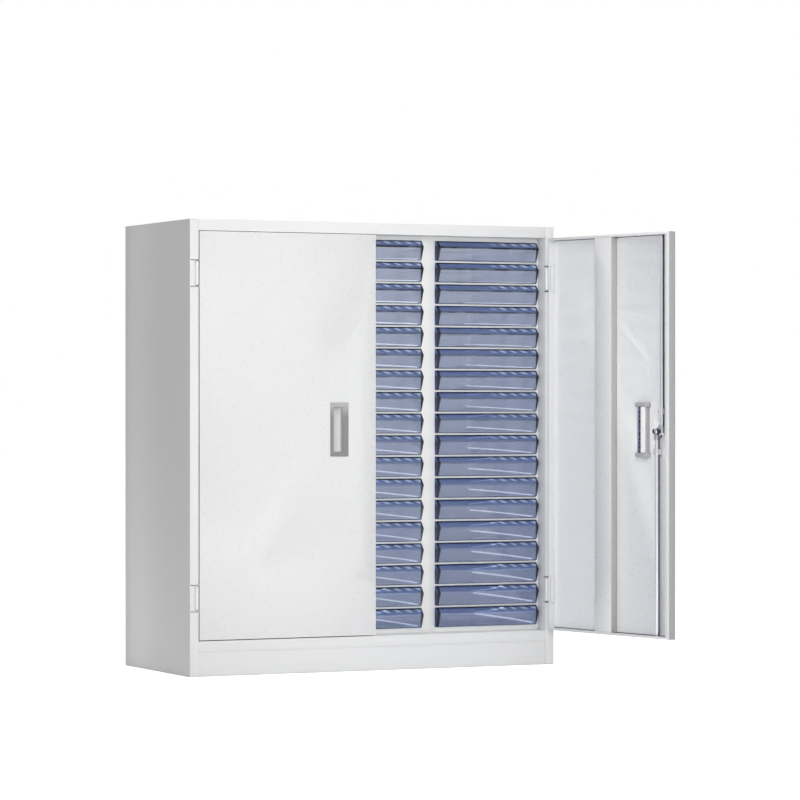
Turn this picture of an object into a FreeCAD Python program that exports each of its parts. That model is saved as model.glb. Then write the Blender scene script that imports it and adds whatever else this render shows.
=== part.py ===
import FreeCAD, Part
import os
import Sketcher
from FreeCAD import Vector

# Steel cabinet with three columns of shallow plastic drawers behind two hinged doors.
# Frame: X to the right, Y to the rear, Z up, origin on the floor under the middle of the cabinet.
# At rest the left door is shut and the right door stands open.

# Driving sizes in millimetres, angles in degrees, and counts.
SIZES = (
    ("cabinet_width", 900, "outside width over the side panels"),
    ("cabinet_depth", 392.5, "outside depth"),
    ("cabinet_height", 1004, "height from the floor"),
    ("body_sheet", 1.2, "steel of the carcass"),
    ("back_sheet", 1.0, "steel of the back panel"),
    ("frame_sheet", 1.0, "steel of partitions, liners, strips and shelves"),
    ("stile_width", 20.7, "front face of the folded stile"),
    ("back_flange", 18, "rear fold of a side panel"),
    ("top_rail_height", 25, "front rail under the top"),
    ("top_return", 60, "fold under the top rail"),
    ("sill_height", 78, "floor of the door opening"),
    ("plinth_height", 54, "lower edge of the bottom rail"),
    ("assembly_gap", 0.15, "play between sheets that are slid together"),
    ("fold_gap", 0.5, "play at the end of the stile's last fold"),
    ("frame_setback", 37.5, "front plane of the drawer frame behind the cabinet's front"),
    ("column_pitch", 294, "spacing of the three drawer columns"),
    ("bay_width", 259, "clear width of a column"),
    ("liner_flange", 21.5, "front fold of an outer liner"),
    ("strip_flange", 20, "fold of the head and sill strips"),
    ("drawer_rows", 18, "drawers in a column"),
    ("drawer_pitch", 49, "spacing of the rows"),
    ("first_shelf_rise", 12.4, "lowest shelf above the sill"),
    ("shelf_lip", 3.8, "front fold of a shelf"),
    ("drawer_lift", 0.3, "sliding play under a drawer"),
    ("drawer_side_play", 1.0, "sliding play at each side of a drawer"),
    ("drawer_length", 330, "tray behind the frame plane"),
    ("tray_height", 38, "side walls of the tray"),
    ("drawer_wall", 1.6, "moulded wall"),
    ("front_wall", 2.0, "moulded front, measured along the slide"),
    ("front_height", 44.2, "height of the drawer front"),
    ("front_edge_reach", 5, "upper and lower edge of the front before the frame plane"),
    ("nose_reach", 18, "nose before the frame plane"),
    ("nose_height", 30, "nose above the drawer's underside"),
    ("cheek_step", 3, "full height of the cheeks behind the frame plane"),
    ("door_sheet", 1.0, "steel of the doors"),
    ("door_thickness", 18, "depth of the folded door"),
    ("door_middle_gap", 2.0, "gap between the two doors"),
    ("door_side_gap", 2.0, "gap between door and stile"),
    ("door_top_gap", 1.2, "gap over the doors"),
    ("door_bottom_gap", 2.0, "gap under the doors"),
    ("door_lip", 12.5, "inward fold at the free edge"),
    ("door_return", 6, "fold along the door's top and bottom"),
    ("return_gap", 0.2, "play between the stiffener and those folds"),
    ("door_open_angle", 100.5, "right door at rest"),
    ("stiffener_place", 230, "middle of the stiffener from the cabinet's middle"),
    ("stiffener_width", 58, "width of the stiffener"),
    ("hinge_pin_inset", 9.3, "hinge axis from the outside of the side panel"),
    ("hinge_pin_depth", 6.3, "hinge axis behind the cabinet's front"),
    ("hinge_pin_radius", 2.5, "hinge pin"),
    ("hinge_pin_length", 70, "hinge pin"),
    ("hinge_low", 172, "middle of the lower hinges"),
    ("hinge_spacing", 713, "from the lower to the upper hinges"),
    ("ear_offset", 29.2, "middle of an ear from the middle of its hinge"),
    ("ear_thickness", 1.6, "door ear"),
    ("ear_radius", 4.0, "round end of an ear"),
    ("ear_play", 0.2, "room around an ear in its slots"),
    ("slot_reach", 7.5, "slot in the stile beyond the hinge axis"),
    ("leaf_thickness", 2.0, "hinge leaf inside the door"),
    ("leaf_depth", 12, "hinge leaf along the door's edge"),
    ("running_play", 0.05, "radial play of a shaft in its bore"),
    ("seat_play", 0.02, "radial play of a pin in its fixed bore"),
    ("bracket_arm", 2.5, "arm of a hinge bracket"),
    ("bracket_arm_offset", 32.8, "middle of an arm from the middle of its hinge"),
    ("bracket_foot", 2.0, "foot of a hinge bracket"),
    ("bracket_inset", 3.5, "foot behind the cabinet's front"),
    ("bracket_foot_depth", 17, "foot along the side panel"),
    ("cover_radius", 4.5, "rounded cover on a hinge"),
    ("cover_length", 54, "rounded cover on a hinge"),
    ("cover_place", 4.2, "middle of the cover from the stile's inner edge"),
    ("cover_depth", 1.8, "middle of the cover behind the front"),
    ("cover_play", 0.8, "room around the cover in the stile"),
    ("cover_cut_depth", 5.5, "cut-out for the cover in the stile"),
    ("cover_foot_length", 40, "snap foot of the cover"),
    ("cover_foot_width", 12, "snap foot of the cover"),
    ("cover_foot_thickness", 1.2, "snap foot of the cover"),
    ("pull_place", 90.75, "middle of the left pull from the cabinet's middle"),
    ("lock_door_pull_place", 105, "middle of the right pull, which makes room for the lock"),
    ("pull_middle", 541.25, "middle of the pull above the floor"),
    ("pull_width", 44, "face of the pull"),
    ("pull_height", 120.5, "face of the pull"),
    ("pull_face", 1.5, "thickness of the face"),
    ("grip_width", 15.4, "band of the face that the fingers hook behind"),
    ("window_width", 21, "opening in the face"),
    ("window_height", 99.4, "opening in the face"),
    ("trough_radius", 17, "outside of the round trough"),
    ("trough_wall", 1.5, "wall of the trough"),
    ("trough_end", 1.2, "end wall of the trough"),
    ("trough_play", 0.6, "room around the trough in the door"),
    ("clamp_height", 9.5, "clamp bar at each end of the trough"),
    ("clamp_length", 42, "clamp bar"),
    ("clamp_reach", 14, "back of the clamp behind the door's face"),
    ("clamp_round", 6, "rounded ends of the clamp"),
    ("lock_place", 47, "lock from the cabinet's middle"),
    ("lock_height", 537.3, "lock above the floor"),
    ("lock_radius", 9, "barrel of the lock"),
    ("lock_depth", 11, "barrel behind the door's face"),
    ("lock_rim_radius", 11, "rim of the barrel"),
    ("lock_rim", 1.5, "rim of the barrel"),
    ("lock_hole_play", 0.2, "room around the barrel"),
    ("lock_nut_width", 24, "nut across its flats"),
    ("lock_nut_thickness", 3, "nut on the barrel"),
    ("plug_radius", 6, "key plug"),
    ("plug_end", 12.2, "plug behind the door's face"),
    ("key_slot_width", 1.8, "key slot"),
    ("key_slot_length", 8, "key slot"),
    ("key_slot_depth", 3, "key slot"),
    ("shank_radius", 4, "plug's shank through the cam"),
    ("cam_front", 14.4, "cam plate behind the door's face"),
    ("cam_thickness", 2.0, "cam plate"),
    ("cam_length", 26, "cam plate"),
    ("cam_width", 11, "cam plate"),
    ("cam_nut_radius", 5, "nut on the shank"),
    ("cam_nut_thickness", 1.4, "nut on the shank"),
    ("rod_radius", 4.5, "bolt rod"),
    ("rod_depth", 9, "rod axis behind the door's face"),
    ("upper_rod_place", 35, "upper rod from the cabinet's middle"),
    ("lower_rod_place", 50.5, "lower rod from the cabinet's middle"),
    ("rod_start", 10.7, "rod's inner end from the lock's middle"),
    ("rod_play", 0.4, "room around a rod in the door's flange"),
    ("rail_hole_play", 1.0, "room around a rod in the rails"),
    ("rod_foot_front", 12.6, "flat foot behind the door's face"),
    ("rod_foot_thickness", 1.4, "flat foot of a rod"),
    ("upper_foot_near", 27, "upper foot from the cabinet's middle"),
    ("upper_foot_width", 15, "upper foot"),
    ("upper_foot_drop", 5, "upper foot below the lock's middle"),
    ("upper_foot_rise", 15, "upper foot above the lock's middle"),
    ("lower_foot_width", 11, "lower foot"),
    ("lower_foot_top", 6, "lower foot under the lock's middle"),
    ("lower_foot_bottom", 19, "lower foot under the lock's middle"),
    ("guide_width", 14, "rod guide"),
    ("guide_height", 12, "rod guide"),
    ("guide_back", 15, "rod guide behind the door's face"),
    ("guide_offset", 45, "rod guide from the lock's middle"),
)

doc = FreeCAD.newDocument("drawer_cabinet")
sheet = doc.addObject("Spreadsheet::Sheet", "Sizes")
for row, (alias, number, note) in enumerate(SIZES, start=1):
    sheet.set(f"A{row}", note)
    sheet.set(f"B{row}", str(number))
    sheet.setAlias(f"B{row}", alias)
doc.recompute()

# Places shared by several pieces, as expressions of the sizes.
HALF_WIDTH = "(Sizes.cabinet_width / 2)"
FRONT = "(-Sizes.cabinet_depth / 2)"
REAR = "(Sizes.cabinet_depth / 2)"
FRAME = "(Sizes.frame_setback - Sizes.cabinet_depth / 2)"
BACK_PANEL_FACE = "(Sizes.cabinet_depth / 2 - Sizes.body_sheet - Sizes.back_sheet)"
STILE_EDGE = "(Sizes.cabinet_width / 2 - Sizes.stile_width)"
TOP_UNDERSIDE = "(Sizes.cabinet_height - Sizes.body_sheet)"
HEAD = "(Sizes.cabinet_height - Sizes.top_rail_height)"
SILL = "Sizes.sill_height"
FIRST_SHELF = "(Sizes.sill_height + Sizes.first_shelf_rise)"
STRIP_TOP = f"({FIRST_SHELF} + Sizes.drawer_rows * Sizes.drawer_pitch - Sizes.shelf_lip)"
COLUMN_WIDTH = "Sizes.bay_width"
DRAWER_WIDTH = "(Sizes.bay_width - 2 * Sizes.drawer_side_play)"
DOOR_FREE = "(Sizes.door_middle_gap / 2)"
DOOR_HINGED = f"({STILE_EDGE} - Sizes.door_side_gap)"
DOOR_BOTTOM = "(Sizes.sill_height + Sizes.door_bottom_gap)"
DOOR_TOP = f"({HEAD} - Sizes.door_top_gap)"
DOOR_HEIGHT = f"({DOOR_TOP} - {DOOR_BOTTOM})"
HINGE_X = "(Sizes.cabinet_width / 2 - Sizes.hinge_pin_inset)"
HINGE_Y = "(Sizes.hinge_pin_depth - Sizes.cabinet_depth / 2)"
EAR_HOLE = "(Sizes.hinge_pin_radius + Sizes.running_play)"
COVER_X = f"({STILE_EDGE} + Sizes.cover_place)"
RIGHT = 1
LEFT = -1

parts = {}


def value_of(expression):
    """Return the number that an expression of the sizes has now."""
    return float(sheet.evalExpression(expression))


def behind(distance):
    """Return the Y of a place this far behind the cabinet's front."""
    return f"({FRONT} + {distance})"


def on_side(expression, side):
    """Return an X measured from the middle of the cabinet towards one side."""
    return expression if side == RIGHT else f"(-1 * {expression})"


def mirrored(points, side):
    """Return plan points, given for the right side, for either side."""
    return [(on_side(x, side), y) for x, y in points]


def new_body(label):
    """Start a piece whose label names its file."""
    body = doc.addObject("PartDesign::Body", label)
    body.Label = label
    parts[label] = body
    return body


def new_sketch(body, plane, offset="0"):
    """Lay a sketch parallel to an origin plane of its own body."""
    sketch = body.newObject("Sketcher::SketchObject", f"{body.Label}_sketch")
    support = next(item for item in body.Origin.OriginFeatures if item.Role == plane)
    sketch.AttachmentSupport = [(support, "")]
    sketch.MapMode = "FlatFace"
    sketch.setExpression("AttachmentOffset.Base.z", offset)
    return sketch


def fix(sketch, kind, geometry, corner, expression):
    """Tie one coordinate of a sketch point to an expression of the sizes."""
    number = value_of(expression)
    index = sketch.addConstraint(Sketcher.Constraint(kind, -1, 1, geometry, corner, number))
    sketch.setExpression(f"Constraints[{index}]", expression)


def add_outline(sketch, points, arcs=None):
    """Draw a closed outline through points; arcs maps a side to its middle point and centre."""
    arcs = arcs or {}
    first = sketch.GeometryCount
    corners = [Vector(value_of(x), value_of(y), 0) for x, y in points]
    ends = []
    for i, start in enumerate(corners):
        finish = corners[(i + 1) % len(corners)]
        if i in arcs:
            middle = Vector(*(value_of(c) for c in arcs[i][0]), 0)
            sketch.addGeometry(Part.Arc(start, middle, finish))
        else:
            sketch.addGeometry(Part.LineSegment(start, finish))
        forward = sketch.getPoint(first + i, 1).distanceToPoint(start) < 1e-6
        ends.append((1, 2) if forward else (2, 1))
    for i, start in enumerate(corners):
        following = (i + 1) % len(corners)
        pair = (first + i, ends[i][1], first + following, ends[following][0])
        sketch.addConstraint(Sketcher.Constraint("Coincident", *pair))
        fix(sketch, "DistanceX", first + i, ends[i][0], points[i][0])
        fix(sketch, "DistanceY", first + i, ends[i][0], points[i][1])
        if i in arcs:
            chord = corners[following] - start
            kind, place = ("DistanceY", 1) if abs(chord.x) > abs(chord.y) else ("DistanceX", 0)
            fix(sketch, kind, first + i, 3, arcs[i][1][place])


def add_rectangle(sketch, low_x, low_y, high_x, high_y):
    """Draw a rectangle between two corners."""
    add_outline(sketch, [(low_x, low_y), (high_x, low_y), (high_x, high_y), (low_x, high_y)])


def add_circle(sketch, centre_x, centre_y, radius):
    """Draw a circle."""
    centre = Vector(value_of(centre_x), value_of(centre_y), 0)
    index = sketch.addGeometry(Part.Circle(centre, Vector(0, 0, 1), value_of(radius)))
    fix(sketch, "DistanceX", index, 3, centre_x)
    fix(sketch, "DistanceY", index, 3, centre_y)
    size = sketch.addConstraint(Sketcher.Constraint("Radius", index, value_of(radius)))
    sketch.setExpression(f"Constraints[{size}]", radius)


def shifted(expression, sign, distance):
    """Return an expression moved by a signed distance."""
    if sign == 0:
        return expression
    return f"({expression} {'+' if sign > 0 else '-'} {distance})"


def bent_sheet(path, thickness, turn=RIGHT):
    """Return the outline of a sheet bent at right angles, its thickness on one hand of the path."""
    spots = [(value_of(x), value_of(y)) for x, y in path]
    normals = []
    for (x0, y0), (x1, y1) in zip(spots, spots[1:]):
        across = (y1 > y0) - (y1 < y0)
        along = (x1 > x0) - (x1 < x0)
        normals.append((turn * across, -turn * along))
    inner = []
    for i, (x, y) in enumerate(path):
        near = normals[max(i - 1, 0):i + 1]
        sign_x = sum(n[0] for n in near)
        sign_y = sum(n[1] for n in near)
        inner.append((shifted(x, sign_x, thickness), shifted(y, sign_y, thickness)))
    return list(path) + inner[::-1]


def pad(body, sketch, length, symmetric=False, name="pad"):
    """Thicken a sketch along its normal."""
    feature = body.newObject("PartDesign::Pad", f"{body.Label}_{name}")
    feature.Profile = sketch
    feature.SideType = "Symmetric" if symmetric else "One side"
    feature.setExpression("Length", length)
    return feature


def cut(body, sketch, length, name="cut"):
    """Cut a sketch out of its body to both sides of the sketch."""
    doc.recompute()
    before = body.Shape.Volume
    feature = body.newObject("PartDesign::Pocket", f"{body.Label}_{name}")
    feature.Profile = sketch
    feature.SideType = "Symmetric"
    feature.setExpression("Length", length)
    doc.recompute()
    if not body.Shape.Volume < before:
        raise RuntimeError(f"{feature.Label} removes nothing")
    return feature


def repeat(body, features, length, count, axis="Z_Axis"):
    """Repeat features along an axis of their body."""
    feature = body.newObject("PartDesign::LinearPattern", f"{body.Label}_pattern")
    feature.Originals = features
    direction = next(item for item in body.Origin.OriginFeatures if item.Role == axis)
    feature.Direction = (direction, [""])
    feature.setExpression("Length", length)
    feature.setExpression("Occurrences", count)
    body.Tip = feature
    return feature


def repeat_hinge(body, features):
    """Repeat the lower hinge's features at the upper hinge."""
    return repeat(body, features, "Sizes.hinge_spacing", "2")


def hang_open(piece):
    """Swing a piece that is made in the shut right door to the door's rest angle."""
    angle = "Sizes.door_open_angle"
    turned_x = f"({HINGE_X} * cos({angle}) - {HINGE_Y} * sin({angle}))"
    turned_y = f"({HINGE_X} * sin({angle}) + {HINGE_Y} * cos({angle}))"
    piece.setExpression("Placement.Base.x", f"{HINGE_X} - {turned_x}")
    piece.setExpression("Placement.Base.y", f"{HINGE_Y} - {turned_y}")
    piece.setExpression("Placement.Rotation.Angle", angle)


def on_door(piece, side):
    """Leave a piece of the left door shut and swing one of the right door open."""
    if side == RIGHT:
        hang_open(piece)


def side_name(side):
    """Return the word for a side of the cabinet."""
    return "right" if side == RIGHT else "left"


def pull_place(side):
    """Return the distance from the middle of the cabinet to the middle of a door's pull."""
    return "Sizes.lock_door_pull_place" if side == RIGHT else "Sizes.pull_place"


def make_side_panel(side):
    """Side panel folded round a closed stile, with slots for the hinges' ears and covers."""
    body = new_body(f"{side_name(side)}_side_panel")
    path = mirrored([
        (f"({HALF_WIDTH} - Sizes.back_flange)", REAR),
        (HALF_WIDTH, REAR),
        (HALF_WIDTH, FRONT),
        (STILE_EDGE, FRONT),
        (STILE_EDGE, FRAME),
        (f"({HALF_WIDTH} - Sizes.body_sheet - Sizes.fold_gap)", FRAME),
    ], side)
    sketch = new_sketch(body, "XY_Plane")
    add_outline(sketch, bent_sheet(path, "Sizes.body_sheet", side))
    pad(body, sketch, TOP_UNDERSIDE)
    low, high = "(Sizes.cover_length / 2 - Sizes.cover_radius)", "Sizes.cover_radius + Sizes.cover_play"
    x = on_side(COVER_X, side)
    bottom, top = f"(Sizes.hinge_low - {low})", f"(Sizes.hinge_low + {low})"
    radius = f"({high})"
    sketch = new_sketch(body, "XZ_Plane", "Sizes.cabinet_depth / 2")
    add_outline(
        sketch,
        [(f"({x} - {radius})", bottom), (f"({x} + {radius})", bottom),
         (f"({x} + {radius})", top), (f"({x} - {radius})", top)],
        {0: ((x, f"({bottom} - {radius})"), (x, bottom)), 2: ((x, f"({top} + {radius})"), (x, top))},
    )
    cuts = [cut(body, sketch, "2 * Sizes.cover_cut_depth", "cover_cut")]
    for sign in "-", "+":
        sketch = new_sketch(body, "XY_Plane", f"Sizes.hinge_low {sign} Sizes.ear_offset")
        outer = on_side(f"({HINGE_X} + Sizes.slot_reach)", side)
        inner = on_side(f"({STILE_EDGE} - Sizes.body_sheet)", side)
        back = f"({HINGE_Y} + Sizes.ear_radius + Sizes.ear_play)"
        add_rectangle(sketch, inner, f"({FRONT} - Sizes.body_sheet)", outer, back)
        cuts.append(cut(body, sketch, "Sizes.ear_thickness + 2 * Sizes.ear_play", "ear_slot"))
    repeat_hinge(body, cuts)


def make_top_panel():
    """Top sheet with a front rail folded down and back, drilled for the upper rod."""
    body = new_body("top_panel")
    sketch = new_sketch(body, "YZ_Plane")
    add_rectangle(sketch, FRONT, TOP_UNDERSIDE, REAR, "Sizes.cabinet_height")
    pad(body, sketch, "Sizes.cabinet_width", symmetric=True)
    sketch = new_sketch(body, "YZ_Plane")
    path = [(FRONT, TOP_UNDERSIDE), (FRONT, HEAD), (behind("Sizes.top_return"), HEAD)]
    add_outline(sketch, bent_sheet(path, "Sizes.body_sheet", LEFT))
    pad(body, sketch, f"2 * ({STILE_EDGE} - Sizes.assembly_gap)", symmetric=True, name="rail")
    drill_rail(body, "Sizes.upper_rod_place", HEAD)


def make_floor_panel():
    """Floor sheet with the bottom rail folded down at its front, drilled for the lower rod."""
    body = new_body("floor_panel")
    sketch = new_sketch(body, "YZ_Plane")
    path = [(FRONT, "Sizes.plinth_height"), (FRONT, SILL), (BACK_PANEL_FACE, SILL)]
    add_outline(sketch, bent_sheet(path, "Sizes.body_sheet"))
    pad(body, sketch, f"2 * ({STILE_EDGE} - Sizes.assembly_gap)", symmetric=True)
    drill_rail(body, "Sizes.lower_rod_place", SILL)


def drill_rail(body, place, height):
    """Drill the hole that takes a rod's end when the door is locked."""
    sketch = new_sketch(body, "XY_Plane", height)
    add_circle(sketch, place, behind("Sizes.rod_depth"), "(Sizes.rod_radius + Sizes.rail_hole_play)")
    cut(body, sketch, "4 * Sizes.body_sheet", "rod_hole")


def make_back_panel():
    """Flat back, held in front of the side panels' rear folds."""
    body = new_body("back_panel")
    half = f"({HALF_WIDTH} - Sizes.body_sheet - Sizes.assembly_gap)"
    sketch = new_sketch(body, "XZ_Plane", "Sizes.body_sheet - Sizes.cabinet_depth / 2")
    add_rectangle(sketch, f"(-1 * {half})", "0", half, TOP_UNDERSIDE)
    pad(body, sketch, "Sizes.back_sheet")


def make_plinth():
    """Ring of upright sheet under the floor, just behind the bottom rail."""
    body = new_body("plinth")
    half = f"({STILE_EDGE} - Sizes.assembly_gap)"
    sheet_in = "Sizes.body_sheet"
    sketch = new_sketch(body, "XY_Plane")
    add_rectangle(sketch, f"(-1 * {half})", behind(sheet_in), half, BACK_PANEL_FACE)
    add_rectangle(
        sketch,
        f"({sheet_in} - {half})", behind(f"2 * {sheet_in}"),
        f"({half} - {sheet_in})", f"({BACK_PANEL_FACE} - {sheet_in})",
    )
    pad(body, sketch, f"{SILL} - Sizes.body_sheet")


def make_partition(side):
    """Hollow upright between two columns: a front web and two full-depth walls."""
    body = new_body(f"{side_name(side)}_partition")
    outer = "(Sizes.column_pitch - Sizes.bay_width / 2)"
    inner = "(Sizes.bay_width / 2)"
    path = [(outer, BACK_PANEL_FACE), (outer, FRAME), (inner, FRAME), (inner, BACK_PANEL_FACE)]
    stand_sheet(body, path, side)


def make_liner(side):
    """Wall outside an outer column, with a front fold behind the stile."""
    body = new_body(f"{side_name(side)}_liner")
    wall = "(Sizes.column_pitch + Sizes.bay_width / 2)"
    path = [(f"({wall} + Sizes.liner_flange)", FRAME), (wall, FRAME), (wall, BACK_PANEL_FACE)]
    stand_sheet(body, path, side)


def stand_sheet(body, path, side):
    """Raise a bent sheet from the floor panel to the head."""
    sketch = new_sketch(body, "XY_Plane", SILL)
    add_outline(sketch, bent_sheet(mirrored(path, side), "Sizes.frame_sheet", side))
    pad(body, sketch, f"{HEAD} - {SILL}")


def make_strips(label, path):
    """One folded strip in each of the three bays."""
    body = new_body(label)
    sketch = new_sketch(body, "YZ_Plane", "-1 * Sizes.column_pitch")
    add_outline(sketch, bent_sheet(path, "Sizes.frame_sheet"))
    strip = pad(body, sketch, COLUMN_WIDTH, symmetric=True)
    repeat(body, [strip], "2 * Sizes.column_pitch", "3", "X_Axis")


def make_shelves(label, column):
    """The shelves that carry one column of drawers."""
    body = new_body(label)
    sketch = new_sketch(body, "YZ_Plane", f"{column} * Sizes.column_pitch")
    path = [(FRAME, f"({FIRST_SHELF} - Sizes.shelf_lip)"), (FRAME, FIRST_SHELF),
            (BACK_PANEL_FACE, FIRST_SHELF)]
    add_outline(sketch, bent_sheet(path, "Sizes.frame_sheet"))
    shelf = pad(body, sketch, COLUMN_WIDTH, symmetric=True)
    repeat(body, [shelf], "(Sizes.drawer_rows - 1) * Sizes.drawer_pitch", "Sizes.drawer_rows")


def shape_drawer(body, column, row):
    """Open tray whose front folds out to a nose; returns its two features."""
    floor = f"({FIRST_SHELF} + Sizes.drawer_lift + {row} * Sizes.drawer_pitch)"
    nose = f"({floor} + Sizes.nose_height)"
    edge, tip = f"({FRAME} - Sizes.front_edge_reach)", f"({FRAME} - Sizes.nose_reach)"
    rear, wall = f"({FRAME} + Sizes.drawer_length)", "Sizes.drawer_wall"
    step, top = f"({FRAME} + Sizes.cheek_step)", f"({floor} + Sizes.front_height)"
    tray_top = f"({floor} + Sizes.tray_height)"
    above = f"({top} + {wall})"
    place = f"{column} * Sizes.column_pitch"
    sketch = new_sketch(body, "YZ_Plane", place)
    add_outline(sketch, [
        (edge, floor), (rear, floor), (rear, tray_top), (step, tray_top), (step, top), (edge, top),
        (tip, nose),
    ])
    solid = pad(body, sketch, DRAWER_WIDTH, symmetric=True)
    sketch = new_sketch(body, "YZ_Plane", place)
    add_outline(sketch, [
        (f"({edge} + Sizes.front_wall)", f"({floor} + {wall})"),
        (f"({rear} - {wall})", f"({floor} + {wall})"),
        (f"({rear} - {wall})", above),
        (f"({edge} + Sizes.front_wall)", above),
        (f"({edge} + Sizes.front_wall)", top),
        (f"({tip} + Sizes.front_wall)", nose),
    ])
    return [solid, cut(body, sketch, f"{DRAWER_WIDTH} - 2 * {wall}", "hollow")]


def make_drawer_column(label, column):
    """A whole column of drawers in one node."""
    body = new_body(label)
    features = shape_drawer(body, column, 0)
    repeat(body, features, "(Sizes.drawer_rows - 1) * Sizes.drawer_pitch", "Sizes.drawer_rows")


def make_right_drawers():
    """The sliding drawers of the right column, numbered from the top."""
    rows = int(value_of("Sizes.drawer_rows"))
    for number in range(1, rows + 1):
        shape_drawer(new_body(f"right_drawer_{number:02d}"), 1, rows - number)


def make_door_panel(side):
    """Folded door pan with its hollow side to the rear."""
    body = new_body(f"{side_name(side)}_door_panel")
    back = behind("Sizes.door_thickness")
    path = mirrored([
        (f"({DOOR_FREE} + Sizes.door_lip)", back), (DOOR_FREE, back), (DOOR_FREE, FRONT),
        (DOOR_HINGED, FRONT), (DOOR_HINGED, back),
    ], side)
    sketch = new_sketch(body, "XY_Plane", DOOR_BOTTOM)
    add_outline(sketch, bent_sheet(path, "Sizes.door_sheet", -side))
    pad(body, sketch, DOOR_HEIGHT)
    for name, height in (("bottom", DOOR_BOTTOM), ("top", f"({DOOR_TOP} - Sizes.door_sheet)")):
        sketch = new_sketch(body, "XY_Plane", height)
        add_rectangle(sketch, on_side(DOOR_FREE, side), FRONT, on_side(DOOR_HINGED, side), back)
        pad(body, sketch, "Sizes.door_sheet", name=name)
    inside = behind("(Sizes.door_thickness - Sizes.door_sheet)")
    for name, height in (("bottom", DOOR_BOTTOM), ("top", f"({DOOR_TOP} - Sizes.door_return)")):
        sketch = new_sketch(body, "XY_Plane", height)
        add_rectangle(sketch, on_side(DOOR_FREE, side), inside, on_side(DOOR_HINGED, side), back)
        pad(body, sketch, "Sizes.door_return", name=f"{name}_return")
    through = "4 * Sizes.door_sheet"
    x = on_side(pull_place(side), side)
    half = "(Sizes.trough_radius + Sizes.trough_play)"
    half_height = "(Sizes.window_height / 2 + Sizes.trough_end + Sizes.trough_play)"
    sketch = new_sketch(body, "XZ_Plane", "Sizes.cabinet_depth / 2")
    add_rectangle(
        sketch,
        f"({x} - {half})", f"(Sizes.pull_middle - {half_height})",
        f"({x} + {half})", f"(Sizes.pull_middle + {half_height})",
    )
    cut(body, sketch, through, "pull_cut")
    if side == RIGHT:
        drill_lock_holes(body, through)
    slots = []
    for sign in "-", "+":
        sketch = new_sketch(body, "XY_Plane", f"Sizes.hinge_low {sign} Sizes.ear_offset")
        room = "(Sizes.ear_radius + Sizes.ear_play)"
        add_rectangle(
            sketch,
            on_side(f"({DOOR_HINGED} - 2 * Sizes.door_sheet)", side), f"({HINGE_Y} - {room})",
            on_side(f"({DOOR_HINGED} + Sizes.door_sheet)", side), f"({HINGE_Y} + {room})",
        )
        slots.append(cut(body, sketch, "Sizes.ear_thickness + 2 * Sizes.ear_play", "ear_slot"))
    repeat_hinge(body, slots)
    on_door(body, side)


def drill_lock_holes(body, through):
    """Holes for the lock's barrel and for the ends of the two rods."""
    sketch = new_sketch(body, "XZ_Plane", "Sizes.cabinet_depth / 2")
    add_circle(
        sketch, "Sizes.lock_place", "Sizes.lock_height", "(Sizes.lock_radius + Sizes.lock_hole_play)"
    )
    cut(body, sketch, through, "lock_hole")
    holes = (("Sizes.upper_rod_place", DOOR_TOP), ("Sizes.lower_rod_place", DOOR_BOTTOM))
    for place, height in holes:
        sketch = new_sketch(body, "XY_Plane", height)
        add_circle(sketch, place, behind("Sizes.rod_depth"), "(Sizes.rod_radius + Sizes.rod_play)")
        cut(body, sketch, through, "rod_hole")


def make_stiffener(side):
    """Upright channel welded to the inside of a door."""
    body = new_body(f"{side_name(side)}_door_stiffener")
    near = "(Sizes.stiffener_place - Sizes.stiffener_width / 2)"
    far = "(Sizes.stiffener_place + Sizes.stiffener_width / 2)"
    skin, back = behind("Sizes.door_sheet"), behind("Sizes.door_thickness")
    path = mirrored([(near, skin), (near, back), (far, back), (far, skin)], side)
    end = "(Sizes.door_return + Sizes.return_gap)"
    sketch = new_sketch(body, "XY_Plane", f"{DOOR_BOTTOM} + {end}")
    add_outline(sketch, bent_sheet(path, "Sizes.door_sheet", side))
    pad(body, sketch, f"{DOOR_HEIGHT} - 2 * {end}")
    on_door(body, side)


def add_half_disc(sketch, side, radius):
    """Draw the half disc of the pull's trough, flat at the door's face."""
    x = on_side(pull_place(side), side)
    add_outline(
        sketch,
        [(f"({x} - {radius})", FRONT), (f"({x} + {radius})", FRONT)],
        {1: ((x, behind(radius)), (x, FRONT))},
    )


def make_pull(side):
    """Flush pull: a face with a window in front of a half-round trough."""
    body = new_body(f"{side_name(side)}_pull")
    low = "(Sizes.pull_middle - Sizes.pull_height / 2)"
    high = "(Sizes.pull_middle + Sizes.pull_height / 2)"
    window_low = "(Sizes.pull_middle - Sizes.window_height / 2)"
    window_high = "(Sizes.pull_middle + Sizes.window_height / 2)"
    near = f"({pull_place(side)} - Sizes.pull_width / 2)"
    window_near = f"({near} + Sizes.grip_width)"
    sketch = new_sketch(body, "XZ_Plane", "Sizes.cabinet_depth / 2")
    add_rectangle(
        sketch, on_side(near, side), low, on_side(f"({near} + Sizes.pull_width)", side), high
    )
    add_rectangle(
        sketch, on_side(window_near, side), window_low,
        on_side(f"({window_near} + Sizes.window_width)", side), window_high,
    )
    pad(body, sketch, "Sizes.pull_face", name="face")
    sketch = new_sketch(body, "XY_Plane", "Sizes.pull_middle")
    add_half_disc(sketch, side, "Sizes.trough_radius")
    pad(body, sketch, "Sizes.window_height + 2 * Sizes.trough_end", symmetric=True, name="trough")
    sketch = new_sketch(body, "XY_Plane", "Sizes.pull_middle")
    add_half_disc(sketch, side, "(Sizes.trough_radius - Sizes.trough_wall)")
    cut(body, sketch, "Sizes.window_height", "hollow")
    on_door(body, side)


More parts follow.
